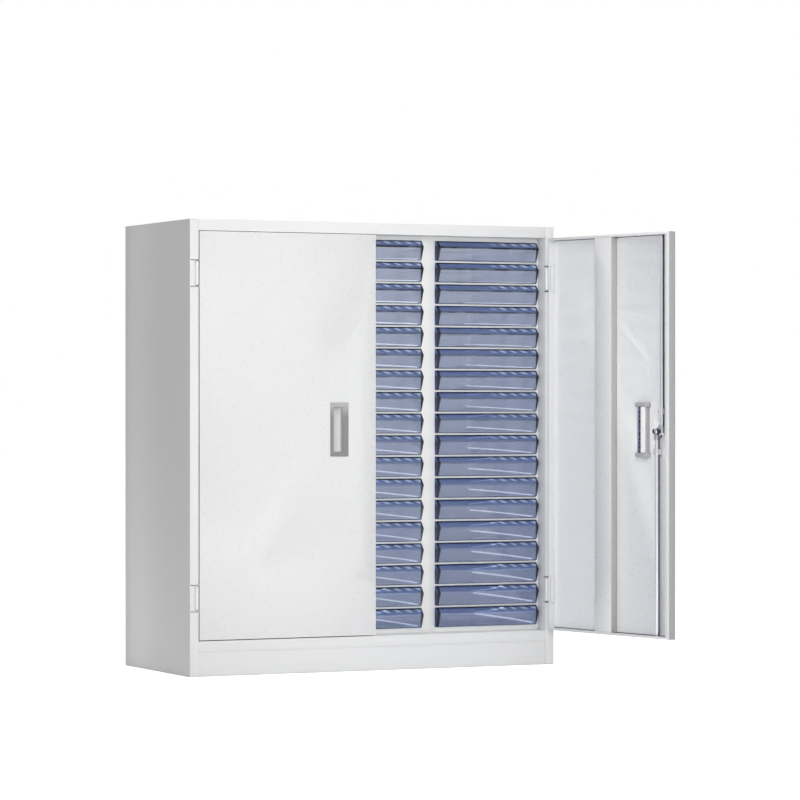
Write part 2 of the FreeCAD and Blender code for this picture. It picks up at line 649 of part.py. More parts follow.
def make_pull_clamps(side):
    """Bars that hold the trough's two ends to the inside of the door."""
    body = new_body(f"{side_name(side)}_pull_clamps")
    near = f"({pull_place(side)} - Sizes.clamp_length / 2)"
    far = f"({near} + Sizes.clamp_length)"
    skin, back = behind("Sizes.door_sheet"), behind("Sizes.clamp_reach")
    near_bend, far_bend = f"({near} + Sizes.clamp_round)", f"({far} - Sizes.clamp_round)"
    bend_y = f"({back} - Sizes.clamp_round)"
    slant = f"Sizes.clamp_round * {0.5 ** 0.5}"
    outline = mirrored([
        (near, skin), (far, skin), (far, bend_y), (far_bend, back), (near_bend, back), (near, bend_y),
    ], side)
    far_middle, far_centre, near_middle, near_centre = mirrored([
        (f"({far_bend} + {slant})", f"({bend_y} + {slant})"), (far_bend, bend_y),
        (f"({near_bend} - {slant})", f"({bend_y} + {slant})"), (near_bend, bend_y),
    ], side)
    rounds = {2: (far_middle, far_centre), 4: (near_middle, near_centre)}
    offset = "(Sizes.window_height / 2 + Sizes.trough_end + Sizes.clamp_height / 2)"
    for sign in "-", "+":
        sketch = new_sketch(body, "XY_Plane", f"Sizes.pull_middle {sign} {offset}")
        add_outline(sketch, outline, rounds)
        pad(body, sketch, "Sizes.clamp_height", symmetric=True)
    on_door(body, side)


def make_hinge_leaves(side):
    """Hinge leaves inside a door's edge, each with two ears that reach round to the pin."""
    body = new_body(f"{side_name(side)}_hinge_leaves")
    inner = f"({DOOR_HINGED} - Sizes.door_sheet - Sizes.leaf_thickness)"
    outer = f"({DOOR_HINGED} - Sizes.door_sheet)"
    sketch = new_sketch(body, "XY_Plane", "Sizes.hinge_low")
    skin = behind("Sizes.door_sheet")
    end = behind("(Sizes.door_sheet + Sizes.leaf_depth)")
    add_rectangle(sketch, on_side(inner, side), skin, on_side(outer, side), end)
    leaf_height = "2 * Sizes.ear_offset + Sizes.ear_thickness"
    features = [pad(body, sketch, leaf_height, symmetric=True, name="leaf")]
    low, high = f"({HINGE_Y} - Sizes.ear_radius)", f"({HINGE_Y} + Sizes.ear_radius)"
    ear = mirrored([(inner, low), (HINGE_X, low), (HINGE_X, high), (inner, high)], side)
    tip = mirrored([(f"({HINGE_X} + Sizes.ear_radius)", HINGE_Y), (HINGE_X, HINGE_Y)], side)
    for sign in "-", "+":
        sketch = new_sketch(body, "XY_Plane", f"Sizes.hinge_low {sign} Sizes.ear_offset")
        add_outline(sketch, ear, {1: tip})
        features.append(pad(body, sketch, "Sizes.ear_thickness", symmetric=True, name="ear"))
    sketch = new_sketch(body, "XY_Plane", "Sizes.hinge_low")
    add_circle(sketch, on_side(HINGE_X, side), HINGE_Y, EAR_HOLE)
    features.append(cut(body, sketch, "Sizes.hinge_pin_length", "pin_hole"))
    repeat_hinge(body, features)
    on_door(body, side)


def make_hinge_pins():
    """The four upright pins inside the stiles."""
    body = new_body("hinge_pins")
    sketch = new_sketch(body, "XY_Plane", "Sizes.hinge_low")
    for side in LEFT, RIGHT:
        add_circle(sketch, on_side(HINGE_X, side), HINGE_Y, "Sizes.hinge_pin_radius")
    pins = pad(body, sketch, "Sizes.hinge_pin_length", symmetric=True)
    repeat_hinge(body, [pins])


def make_hinge_brackets():
    """The four brackets inside the stiles, each with two arms that hold a pin's ends."""
    body = new_body("hinge_brackets")
    wall = f"({HALF_WIDTH} - Sizes.body_sheet)"
    foot = f"({wall} - Sizes.bracket_foot)"
    near = f"({HINGE_X} - Sizes.ear_radius)"
    low, high = f"({HINGE_Y} - Sizes.ear_radius)", f"({HINGE_Y} + Sizes.ear_radius)"
    features = []
    sketch = new_sketch(body, "XY_Plane", "Sizes.hinge_low")
    for side in LEFT, RIGHT:
        front = behind("Sizes.bracket_inset")
        back = behind("(Sizes.bracket_inset + Sizes.bracket_foot_depth)")
        add_rectangle(sketch, on_side(foot, side), front, on_side(wall, side), back)
    foot_height = "2 * Sizes.bracket_arm_offset + Sizes.bracket_arm"
    features.append(pad(body, sketch, foot_height, symmetric=True, name="foot"))
    for sign in "-", "+":
        sketch = new_sketch(body, "XY_Plane", f"Sizes.hinge_low {sign} Sizes.bracket_arm_offset")
        for side in LEFT, RIGHT:
            add_rectangle(sketch, on_side(near, side), low, on_side(foot, side), high)
        features.append(pad(body, sketch, "Sizes.bracket_arm", symmetric=True, name="arm"))
    sketch = new_sketch(body, "XY_Plane", "Sizes.hinge_low")
    for side in LEFT, RIGHT:
        add_circle(
            sketch, on_side(HINGE_X, side), HINGE_Y, "(Sizes.hinge_pin_radius + Sizes.seat_play)"
        )
    features.append(cut(body, sketch, "2 * Sizes.hinge_pin_length", "pin_hole"))
    repeat_hinge(body, features)


def make_cover(name, side, height):
    """One rounded hinge cover: a capsule with a snap foot behind the stile's face."""
    x, y = on_side(COVER_X, side), behind("Sizes.cover_depth")
    half = "(Sizes.cover_length / 2 - Sizes.cover_radius)"
    barrel = doc.addObject("Part::Cylinder", f"{name}_barrel")
    barrel.setExpression("Radius", "Sizes.cover_radius")
    barrel.setExpression("Height", f"2 * {half}")
    barrel.setExpression("Placement.Base.x", x)
    barrel.setExpression("Placement.Base.y", y)
    barrel.setExpression("Placement.Base.z", f"{height} - {half}")
    pieces = [barrel]
    for end, sign in (("low", "-"), ("high", "+")):
        ball = doc.addObject("Part::Sphere", f"{name}_{end}_end")
        ball.setExpression("Radius", "Sizes.cover_radius")
        ball.setExpression("Placement.Base.x", x)
        ball.setExpression("Placement.Base.y", y)
        ball.setExpression("Placement.Base.z", f"{height} {sign} {half}")
        pieces.append(ball)
    foot = doc.addObject("Part::Box", f"{name}_foot")
    foot.setExpression("Length", "Sizes.cover_foot_width")
    foot.setExpression("Width", "Sizes.cover_foot_thickness")
    foot.setExpression("Height", "Sizes.cover_foot_length")
    near = f"({STILE_EDGE} + Sizes.body_sheet + Sizes.assembly_gap)"
    low_x = near if side == RIGHT else f"(-1 * {near} - Sizes.cover_foot_width)"
    foot.setExpression("Placement.Base.x", low_x)
    foot.setExpression("Placement.Base.y", behind("Sizes.body_sheet"))
    foot.setExpression("Placement.Base.z", f"{height} - Sizes.cover_foot_length / 2")
    pieces.append(foot)
    cover = doc.addObject("Part::MultiFuse", name)
    cover.Shapes = pieces
    return cover


def make_hinge_covers():
    """The four hinge covers in the stiles."""
    group = doc.addObject("Part::Compound", "hinge_covers")
    group.Label = "hinge_covers"
    heights = (("lower", "Sizes.hinge_low"), ("upper", "(Sizes.hinge_low + Sizes.hinge_spacing)"))
    group.Links = [
        make_cover(f"{side_name(side)}_{level}_cover", side, height)
        for side in (LEFT, RIGHT)
        for level, height in heights
    ]
    parts["hinge_covers"] = group


def pad_round(body, radius, start, length, name="pad"):
    """Pad a disc on the lock's axis, from a depth behind the door's face towards the rear."""
    sketch = new_sketch(body, "XZ_Plane", f"Sizes.cabinet_depth / 2 - {start} - {length}")
    add_circle(sketch, "Sizes.lock_place", "Sizes.lock_height", radius)
    return pad(body, sketch, length, name=name)


def make_lock():
    """Lock barrel and its nut, fixed in the right door, and the turning plug, cam and nut."""
    barrel = new_body("lock_barrel")
    pad_round(barrel, "Sizes.lock_radius", "0", "Sizes.lock_depth", "barrel")
    pad_round(barrel, "Sizes.lock_rim_radius", "(-1 * Sizes.lock_rim)", "Sizes.lock_rim", "rim")
    bore = new_sketch(barrel, "XZ_Plane", "Sizes.cabinet_depth / 2")
    add_circle(bore, "Sizes.lock_place", "Sizes.lock_height", "(Sizes.plug_radius + Sizes.running_play)")
    cut(barrel, bore, "4 * Sizes.lock_depth", "bore")

    nut = new_body("lock_nut")
    start = "Sizes.cabinet_depth / 2 - Sizes.door_sheet - Sizes.lock_nut_thickness"
    sketch = new_sketch(nut, "XZ_Plane", start)
    half, corner = "(Sizes.lock_nut_width / 2)", f"(Sizes.lock_nut_width * {3 ** -0.5})"
    x, z = "Sizes.lock_place", "Sizes.lock_height"
    add_outline(sketch, [
        (f"({x} + {half})", f"({z} - {corner} / 2)"), (f"({x} + {half})", f"({z} + {corner} / 2)"),
        (x, f"({z} + {corner})"), (f"({x} - {half})", f"({z} + {corner} / 2)"),
        (f"({x} - {half})", f"({z} - {corner} / 2)"), (x, f"({z} - {corner})"),
    ])
    add_circle(sketch, x, z, "(Sizes.lock_radius + Sizes.seat_play)")
    pad(nut, sketch, "Sizes.lock_nut_thickness")

    plug = new_body("lock_plug")
    rim, cam_back = "(-1 * Sizes.lock_rim)", "(Sizes.cam_front + Sizes.cam_thickness)"
    pad_round(plug, "Sizes.plug_radius", rim, "(Sizes.plug_end + Sizes.lock_rim)", "core")
    shank_length = f"({cam_back} + Sizes.cam_nut_thickness - Sizes.plug_end)"
    pad_round(plug, "Sizes.shank_radius", "Sizes.plug_end", shank_length, "shank")
    slot = new_sketch(plug, "XZ_Plane", "Sizes.cabinet_depth / 2 + Sizes.lock_rim")
    add_rectangle(
        slot,
        f"({x} - Sizes.key_slot_width / 2)", f"({z} - Sizes.key_slot_length / 2)",
        f"({x} + Sizes.key_slot_width / 2)", f"({z} + Sizes.key_slot_length / 2)",
    )
    cut(plug, slot, "2 * Sizes.key_slot_depth", "key_slot")

    cam = new_body("lock_cam_plate")
    sketch = new_sketch(cam, "XZ_Plane", f"Sizes.cabinet_depth / 2 - {cam_back}")
    reach, half = "((Sizes.cam_length - Sizes.cam_width) / 2)", "(Sizes.cam_width / 2)"
    low, high = f"({z} - {half})", f"({z} + {half})"
    near, far = f"({x} - {reach})", f"({x} + {reach})"
    add_outline(
        sketch,
        [(near, low), (far, low), (far, high), (near, high)],
        {1: ((f"({far} + {half})", z), (far, z)), 3: ((f"({near} - {half})", z), (near, z))},
    )
    add_circle(sketch, x, z, "(Sizes.shank_radius + Sizes.seat_play)")
    pad(cam, sketch, "Sizes.cam_thickness")

    cap = new_body("cam_nut")
    pad_round(cap, "Sizes.cam_nut_radius", cam_back, "Sizes.cam_nut_thickness")
    hole = new_sketch(cap, "XZ_Plane", "Sizes.cabinet_depth / 2")
    add_circle(hole, x, z, "(Sizes.shank_radius + Sizes.seat_play)")
    cut(cap, hole, "4 * Sizes.door_thickness", "bore")
    for piece in (barrel, nut, plug, cam, cap):
        hang_open(piece)


def make_rod(label, place, start, end, foot):
    """Round bolt rod with a flat foot under the cam; foot holds its four sides."""
    body = new_body(label)
    sketch = new_sketch(body, "XY_Plane", start)
    add_circle(sketch, place, behind("Sizes.rod_depth"), "Sizes.rod_radius")
    pad(body, sketch, f"{end} - {start}", name="rod")
    depth = "Sizes.cabinet_depth / 2 - Sizes.rod_foot_front - Sizes.rod_foot_thickness"
    sketch = new_sketch(body, "XZ_Plane", depth)
    add_rectangle(sketch, *foot)
    pad(body, sketch, "Sizes.rod_foot_thickness", name="foot")
    hang_open(body)


def make_rods():
    """The two rods that bolt the right door into the top and the floor."""
    middle = "Sizes.lock_height"
    near = "Sizes.upper_foot_near"
    make_rod(
        "upper_rod", "Sizes.upper_rod_place", f"({middle} + Sizes.rod_start)", DOOR_TOP,
        (near, f"({middle} - Sizes.upper_foot_drop)",
         f"({near} + Sizes.upper_foot_width)", f"({middle} + Sizes.upper_foot_rise)"),
    )
    near = "(Sizes.lower_rod_place - Sizes.lower_foot_width / 2)"
    make_rod(
        "lower_rod", "Sizes.lower_rod_place", DOOR_BOTTOM, f"({middle} - Sizes.rod_start)",
        (near, f"({middle} - Sizes.lower_foot_bottom)",
         f"({near} + Sizes.lower_foot_width)", f"({middle} - Sizes.lower_foot_top)"),
    )


def make_rod_guides():
    """Blocks on the door's inside that the rods slide through."""
    body = new_body("rod_guides")
    guides = (("Sizes.upper_rod_place", "+"), ("Sizes.lower_rod_place", "-"))
    for place, sign in guides:
        middle = f"Sizes.lock_height {sign} Sizes.guide_offset"
        sketch = new_sketch(body, "XY_Plane", middle)
        add_rectangle(
            sketch,
            f"({place} - Sizes.guide_width / 2)", behind("Sizes.door_sheet"),
            f"({place} + Sizes.guide_width / 2)", behind("Sizes.guide_back"),
        )
        add_circle(
            sketch, place, behind("Sizes.rod_depth"), "(Sizes.rod_radius + Sizes.running_play)"
        )
        pad(body, sketch, "Sizes.guide_height", symmetric=True)
    hang_open(body)


make_top_panel()
make_floor_panel()
make_back_panel()
make_plinth()
make_strips("head_strips", [
    (FRAME, STRIP_TOP), (FRAME, HEAD), (f"({FRAME} + Sizes.strip_flange)", HEAD),
])
make_strips("sill_strips", [
    (f"({FRAME} + Sizes.strip_flange)", SILL), (FRAME, SILL),
    (FRAME, f"({FIRST_SHELF} - Sizes.shelf_lip)"),
])
for name, column in (("left", -1), ("middle", 0), ("right", 1)):
    make_shelves(f"{name}_shelves", column)
make_drawer_column("left_drawers", -1)
make_drawer_column("middle_drawers", 0)
make_right_drawers()
for side in (LEFT, RIGHT):
    make_side_panel(side)
    make_partition(side)
    make_liner(side)
    make_door_panel(side)
    make_stiffener(side)
    make_pull(side)
    make_pull_clamps(side)
    make_hinge_leaves(side)
make_hinge_pins()
make_hinge_brackets()
make_hinge_covers()
make_lock()
make_rods()
make_rod_guides()
doc.recompute()

failed = [item.Label for item in doc.Objects if {"Invalid", "Error"} & set(item.State)]
if failed:
    raise RuntimeError(f"features that failed: {failed}")
for label, piece in parts.items():
    if piece.Shape.isNull() or not piece.Shape.isValid() or not piece.Shape.Solids:
        raise RuntimeError(f"{label} has no valid solid")

os.makedirs("parts", exist_ok=True)
for label, piece in parts.items():
    piece.Shape.exportStep(f"parts/{label}.step")
    box = piece.Shape.BoundBox
    print(f"{label}: {len(piece.Shape.Solids)} solids, volume {piece.Shape.Volume:.0f},",
          f"X {box.XMin:.1f} to {box.XMax:.1f}, Y {box.YMin:.1f} to {box.YMax:.1f},",
          f"Z {box.ZMin:.1f} to {box.ZMax:.1f}")
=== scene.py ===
"""Looks of a steel cabinet with three columns of clear blue drawers behind two doors.

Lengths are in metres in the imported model's own frame: X to the right, Y to the rear, Z up.
"""
import logging
import math
from dataclasses import dataclass, field
from enum import Enum
from typing import Iterable, Mapping, Sequence

import bmesh
import bpy
from bpy.types import Material, Mesh, NodeSocket, Object
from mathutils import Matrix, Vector


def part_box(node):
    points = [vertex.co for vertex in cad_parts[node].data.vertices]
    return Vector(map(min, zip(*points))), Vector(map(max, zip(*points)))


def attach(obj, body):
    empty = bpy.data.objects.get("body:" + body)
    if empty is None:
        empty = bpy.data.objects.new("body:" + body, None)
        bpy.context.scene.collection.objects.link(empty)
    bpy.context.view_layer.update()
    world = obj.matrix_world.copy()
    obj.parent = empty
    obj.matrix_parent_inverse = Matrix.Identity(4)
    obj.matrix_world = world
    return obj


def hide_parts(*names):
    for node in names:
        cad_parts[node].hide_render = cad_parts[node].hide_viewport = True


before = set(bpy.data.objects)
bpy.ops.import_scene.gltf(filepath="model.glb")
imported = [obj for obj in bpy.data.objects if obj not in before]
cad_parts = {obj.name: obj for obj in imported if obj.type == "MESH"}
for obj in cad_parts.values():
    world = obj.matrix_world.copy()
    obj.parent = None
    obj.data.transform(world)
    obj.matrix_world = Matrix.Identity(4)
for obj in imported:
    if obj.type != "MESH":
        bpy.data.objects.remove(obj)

LOG = logging.getLogger("cabinet")
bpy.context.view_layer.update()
MM = 0.001
DRAWN_ALONG_Z = (1.0, 1.0, 0.04)
MERGE_DISTANCE = 0.002 * MM
FLAT_ANGLE = math.radians(0.6)
SHARP_ANGLE = math.radians(40.0)
DOOR_OPEN_ANGLE = 100.5

Colour = tuple[float, float, float]
Point = tuple[float, float]
Span = tuple[float, float]


class Side(Enum):
    """The two sides of the cabinet, as the sign of X."""

    LEFT = -1
    RIGHT = 1

    @property
    def word(self) -> str:
        """Return the word used in the pieces' names."""
        return self.name.lower()

    @property
    def door(self) -> str:
        """Return the body that this side's door moves with."""
        return f"{self.word}_door"

    @property
    def door_outward(self) -> Vector:
        """Return the direction that the outside of this side's door faces at rest."""
        turn = math.radians(DOOR_OPEN_ANGLE) if self is Side.RIGHT else 0.0
        return Vector((math.sin(turn), -math.cos(turn), 0.0))


class Column(Enum):
    """The three drawer columns, by the start of their pieces' names."""

    LEFT = "left"
    MIDDLE = "middle"
    RIGHT = "right"


class Slot(Enum):
    """Material slots of the record."""

    BODY = "body_paint"
    FRAME = "frame_paint"
    DOOR = "door_paint"
    DRAWER = "drawer_plastic"
    PULL = "pull_grey"
    ZINC = "zinc"
    CHROME = "lock_chrome"
    BLACK = "lock_black"
    COVER = "cover_white"


class NodeBench:
    """Lays out the shader nodes of one material or of the world."""

    NOISE_SPAN = (0.3, 0.7)
    EDGE_SOFTNESS = 1.6

    def __init__(self, owner: bpy.types.ID) -> None:
        """Start an empty node tree.

        Args:
            owner: The material or world that the nodes belong to.
        """
        owner.use_nodes = True
        self.tree = owner.node_tree
        self.tree.nodes.clear()

    def add(self, kind: str, values: Mapping | None = None, **settings: object) -> bpy.types.Node:
        """Add a node.

        Args:
            kind: Blender's name of the node's type.
            values: Input name or number to a plain value or to the socket that feeds it.
            settings: Properties of the node itself.

        Returns:
            The new node.
        """
        node = self.tree.nodes.new(kind)
        for name, value in settings.items():
            setattr(node, name, value)
        for key, value in (values or {}).items():
            if isinstance(value, NodeSocket):
                self.tree.links.new(value, node.inputs[key])
            else:
                node.inputs[key].default_value = value
        return node

    def object_place(self, stretch: Sequence[float] = (1, 1, 1)) -> NodeSocket:
        """Return Object coordinates, stretched along the axes."""
        place = self.add("ShaderNodeTexCoord").outputs["Object"]
        return self.add("ShaderNodeMapping", {"Vector": place, "Scale": stretch}).outputs[0]

    def lean(self, direction: Sequence[float]) -> NodeSocket:
        """Return the cosine between the surface's own normal and a direction."""
        values = {0: self.add("ShaderNodeTexCoord").outputs["Normal"], 1: direction}
        return self.add("ShaderNodeVectorMath", values, operation="DOT_PRODUCT").outputs["Value"]

    def noise(self, place: NodeSocket, scale: float, detail: float = 2) -> NodeSocket:
        """Return a soft noise value over the given place."""
        values = {"Vector": place, "Scale": scale, "Detail": detail, "Roughness": 0.5}
        return self.add("ShaderNodeTexNoise", values).outputs[0]

    def between(self, value: NodeSocket, low: float, high: float) -> NodeSocket:
        """Return a noise value spread over a range."""
        start, end = self.NOISE_SPAN
        values = {"Value": value, "From Min": start, "From Max": end, "To Min": low, "To Max": high}
        return self.add("ShaderNodeMapRange", values).outputs[0]

    def tint(self, factor: NodeSocket, first: Colour, second: Colour) -> NodeSocket:
        """Return a colour between two colours."""
        values = {0: factor, 6: (*first, 1), 7: (*second, 1)}
        return self.add("ShaderNodeMix", values, data_type="RGBA").outputs[2]

    def overlay(self, factor: NodeSocket, under: NodeSocket, over: Colour | NodeSocket) -> NodeSocket:
        """Return a colour that has another laid over it where the factor is 1."""
        paint = over if isinstance(over, NodeSocket) else (*over, 1)
        values = {0: factor, 6: under, 7: paint}
        return self.add("ShaderNodeMix", values, data_type="RGBA").outputs[2]

    def math(
        self,
        operation: str,
        first: NodeSocket,
        second: NodeSocket | float,
        third: NodeSocket | float = 0.0,
    ) -> NodeSocket:
        """Return the result of one sum on sockets or plain numbers."""
        values = {0: first, 1: second, 2: third}
        return self.add("ShaderNodeMath", values, operation=operation).outputs[0]

    def product(self, first: NodeSocket, *others: NodeSocket | float) -> NodeSocket:
        """Return a value multiplied by the others in turn."""
        for other in others:
            first = self.math("MULTIPLY", first, other)
        return first

    def seen_through(self, strength: float) -> NodeSocket:
        """Return a strength for rays that come through the clear plastic, and 0 for all others."""
        return self.product(self.add("ShaderNodeLightPath").outputs["Is Transmission Ray"], strength)

    def sum(self, value: NodeSocket, amount: float) -> NodeSocket:
        """Return a value with an amount added."""
        return self.math("ADD", value, amount)

    def ramp(self, value: NodeSocket, zero: float, one: float) -> NodeSocket:
        """Return a value spread from 0 at one place to 1 at the other."""
        return self.add("ShaderNodeMapRange", {"Value": value, "From Min": zero, "From Max": one}).outputs[0]

    def near(self, value: NodeSocket, middle: float, reach: float) -> NodeSocket:
        """Return 1 within reach of a middle value, falling to 0 beyond."""
        away = self.math("ABSOLUTE", self.sum(value, -middle), 0.0)
        return self.ramp(away, self.EDGE_SOFTNESS * reach, reach)

    def bump(self, height: NodeSocket, strength: float, depth: float) -> NodeSocket:
        """Return a normal that follows a height."""
        values = {"Height": height, "Strength": strength, "Distance": depth}
        return self.add("ShaderNodeBump", values).outputs[0]

    def surface(self, shader: bpy.types.Node) -> None:
        """Send a shader to the material's surface."""
        output = self.add("ShaderNodeOutputMaterial")
        self.tree.links.new(shader.outputs[0], output.inputs["Surface"])


def shade(colour: Colour, factor: float) -> Colour:
    """Return a colour made lighter or darker."""
    return tuple(min(1.0, part * factor) for part in colour)


@dataclass(frozen=True)
class PowderCoat:
    """Sprayed and baked paint on steel: a faint peel, soft clouds of tone, slight gloss, painted corner
    shade.
    """

    name: str
    colour: Colour
    roughness: float = 0.34
    gloss: float = 0.25
    gloss_roughness: float = 0.12
    gloss_bending: float = 1.5
    glow_lift: float = 0.0
    clouding: float = 0.02
    cloud_scale: float = 2.3
    grain_scale: float = 160.0
    grain_swing: float = 0.04
    peel_scale: float = 420.0
    peel_strength: float = 0.4
    peel_depth: float = 0.02 * MM
    corner_reach: float = 8.0 * MM
    corner_part: Span = (0.6, 0.1)
    corner_shade: float = 0.45
    corner_samples: int = 6
    highlight_part: Span | None = None
    lit_high_colour: Colour = (0.45, 0.45, 0.45)
    lip_shadow_heights: tuple[float, ...] = ()
    lip_shadow_reach: float = 1.3 * MM
    lip_shadow_colour: Colour = (0.17, 0.17, 0.175)

    def material(self) -> Material:
        """Return the finish as a new material."""
        made = bpy.data.materials.new(self.name)
        bench = NodeBench(made)
        place = bench.object_place()
        grain = bench.noise(place, self.grain_scale)
        peel = bench.noise(place, self.peel_scale)
        values = {
            "Base Color": self.tone(bench, place),
            "Roughness": bench.between(
                grain, self.roughness - self.grain_swing, self.roughness + self.grain_swing
            ),
            "Coat Weight": self.gloss,
            "Coat Roughness": self.gloss_roughness,
            "Coat IOR": self.gloss_bending,
            "Normal": bench.bump(peel, self.peel_strength, self.peel_depth),
            # Painted glow: the coat glows for rays seen through the clear plastic.
            "Emission Color": (*self.colour, 1),
            "Emission Strength": bench.seen_through(self.glow_lift),
        }
        bench.surface(bench.add("ShaderNodeBsdfPrincipled", values))
        return made

    def tone(self, bench: NodeBench, place: NodeSocket) -> NodeSocket:
        """Return the coat's colour, with painted shade in narrow gaps and corners.

        Args:
            bench: Where the nodes are laid out.
            place: Object coordinates.

        Returns:
            The colour to paint with.
        """
        clouds = bench.noise(place, self.cloud_scale, 3)
        tone = bench.tint(clouds, shade(self.colour, 1 - self.clouding), self.colour)
        # Painted shade: the coat is darkened where ambient occlusion finds a narrow gap or corner.
        values = {"Distance": self.corner_reach}
        samples = self.corner_samples
        openness = bench.add("ShaderNodeAmbientOcclusion", values, samples=samples).outputs["AO"]
        cornered_shade = bench.ramp(openness, *self.corner_part)
        tone = bench.overlay(cornered_shade, tone, shade(self.colour, self.corner_shade))
        height = bench.add("ShaderNodeSeparateXYZ", {"Vector": place}).outputs["Z"]
        # Painted highlight: lighter above a given height, as on the top band of the pull's face.
        if self.highlight_part:
            tone = bench.overlay(bench.ramp(height, *self.highlight_part), tone, self.lit_high_colour)
        # Painted shadow lines under the door's lips, at the given heights.
        for shadow_height in self.lip_shadow_heights:
            tone = bench.overlay(bench.near(height, shadow_height, self.lip_shadow_reach), tone, self.lip_shadow_colour)
        return tone


@dataclass(frozen=True)
class ClearPlastic:
    """Blue see-through plastic of the drawers, with painted shade lines where its walls meet edge on."""

    name: str
    # The row colours paint higher rows lighter, as painted light; the slope, line and cheek colours are
    # painted shade; the dash colour and the lower rows' nose colour are painted light.
    low_colour: Colour = (0.43, 0.49, 0.64)
    lit_high_colour: Colour = (0.62, 0.66, 0.76)
    slope_shade_colour: Colour = (0.2, 0.27, 0.5)
    glint_colour: Colour = (0.7, 0.78, 0.9)
    shade_line_colour: Colour = (0.0006, 0.0008, 0.003)
    cheek_shade_colour: Colour = (0.09, 0.17, 0.5)
    lit_low_nose_colour: Colour = (0.5, 0.6, 0.85)
    passed: Colour = (0.95, 0.97, 1.0)
    glow: Colour = (0.52, 0.58, 0.78)
    glow_strength: float = 0.1
    clearness: float = 0.84
    roughness: Span = (0.03, 0.08)
    bending: float = 1.46
    mirror_level: float = 0.5
    flow_stretch: tuple[float, float, float] = (1.0, 0.3, 1.0)
    flow_scale: float = 14.0
    flow_strength: float = 0.15
    flow_depth: float = 0.2 * MM
    haze_scale: float = 90.0
    streak_scale: float = 22.0
    streak_part: Span = (0.45, 0.75)
    streak_share: float = 0.3
    streak_shade: float = 0.7
    slope: tuple[float, float, float] = (0.0, -0.738, 0.675)
    slope_part: Span = (0.86, 0.97)
    rows_part: Span = (0.1, 0.95)
    left_part: Span = (-0.5, -0.8)
    front_part: Span = (-0.1, -0.4)
    first_floor: float = 90.7 * MM
    row_pitch: float = 49.0 * MM
    column_pitch: float = 294.0 * MM
    width: float = 257.0 * MM
    frame_plane: float = -158.75 * MM
    cheek_soft: Span = (5.0 * MM, 0.3 * MM)
    nose_height: float = 30.0 * MM
    front_height: float = 44.2 * MM
    nose_line: float = 1.5 * MM
    nose_scale: float = 26.0
    nose_part: Span = (0.4, 0.55)
    nose_strength: Span = (0.6, 1.0)
    edge_line: float = 1.7 * MM
    side_line: float = 5.0 * MM
    side_soft: float = 1.4
    dash_pitch: float = 27.0 * MM
    dash_slant: float = 1.8
    dash_scale: float = 60.0
    dash_swing: float = 14.0 * MM
    dash_part: Span = (0.5, 0.56)
    dash_share: Span = (0.5, 0.6)
    dash_rise: Span = (35.0 * MM, 37.0 * MM)
    end_slant: float = 0.43
    end_soft: Span = (0.8 * MM, 0.4 * MM)
    end_strength: float = 0.9

    @property
    def left_end(self) -> float:
        """Return the drawer's left end, measured from the column's left edge."""
        return (self.column_pitch - self.width) / 2

    def material(self) -> Material:
        """Return the finish as a new material."""
        made = bpy.data.materials.new(self.name)
        bench = NodeBench(made)
        marks = DrawerMarks(self, bench)
        # Painted shade lines along the fronts' edges and on their right ends.
        shade_lines = bench.math("MAXIMUM", marks.front_lines(), marks.right_end())
        flow = bench.noise(bench.object_place(self.flow_stretch), self.flow_scale)
        haze = bench.noise(bench.object_place(), self.haze_scale, 3)
        smooth, rough = self.roughness
        values = {
            "Base Color": bench.overlay(shade_lines, marks.tone(), self.shade_line_colour),
            "Roughness": bench.between(haze, smooth, rough),
            "Transmission Weight": self.clearness,
            "IOR": self.bending,
            "Specular IOR Level": bench.product(bench.ramp(shade_lines, 1.0, 0.0), self.mirror_level),
            "Normal": bench.bump(flow, self.flow_strength, self.flow_depth),
            # Painted glow: the plastic glows for rays seen through it.
            "Emission Color": (*self.glow, 1),
            "Emission Strength": bench.seen_through(self.glow_strength),
        }
        plastic = bench.add("ShaderNodeBsdfPrincipled", values).outputs[0]
        open_way = bench.add("ShaderNodeBsdfTransparent", {"Color": (*self.passed, 1)}).outputs[0]
        shadow_ray = bench.add("ShaderNodeLightPath").outputs["Is Shadow Ray"]
        bench.surface(bench.add("ShaderNodeMixShader", {0: shadow_ray, 1: plastic, 2: open_way}))
        return made


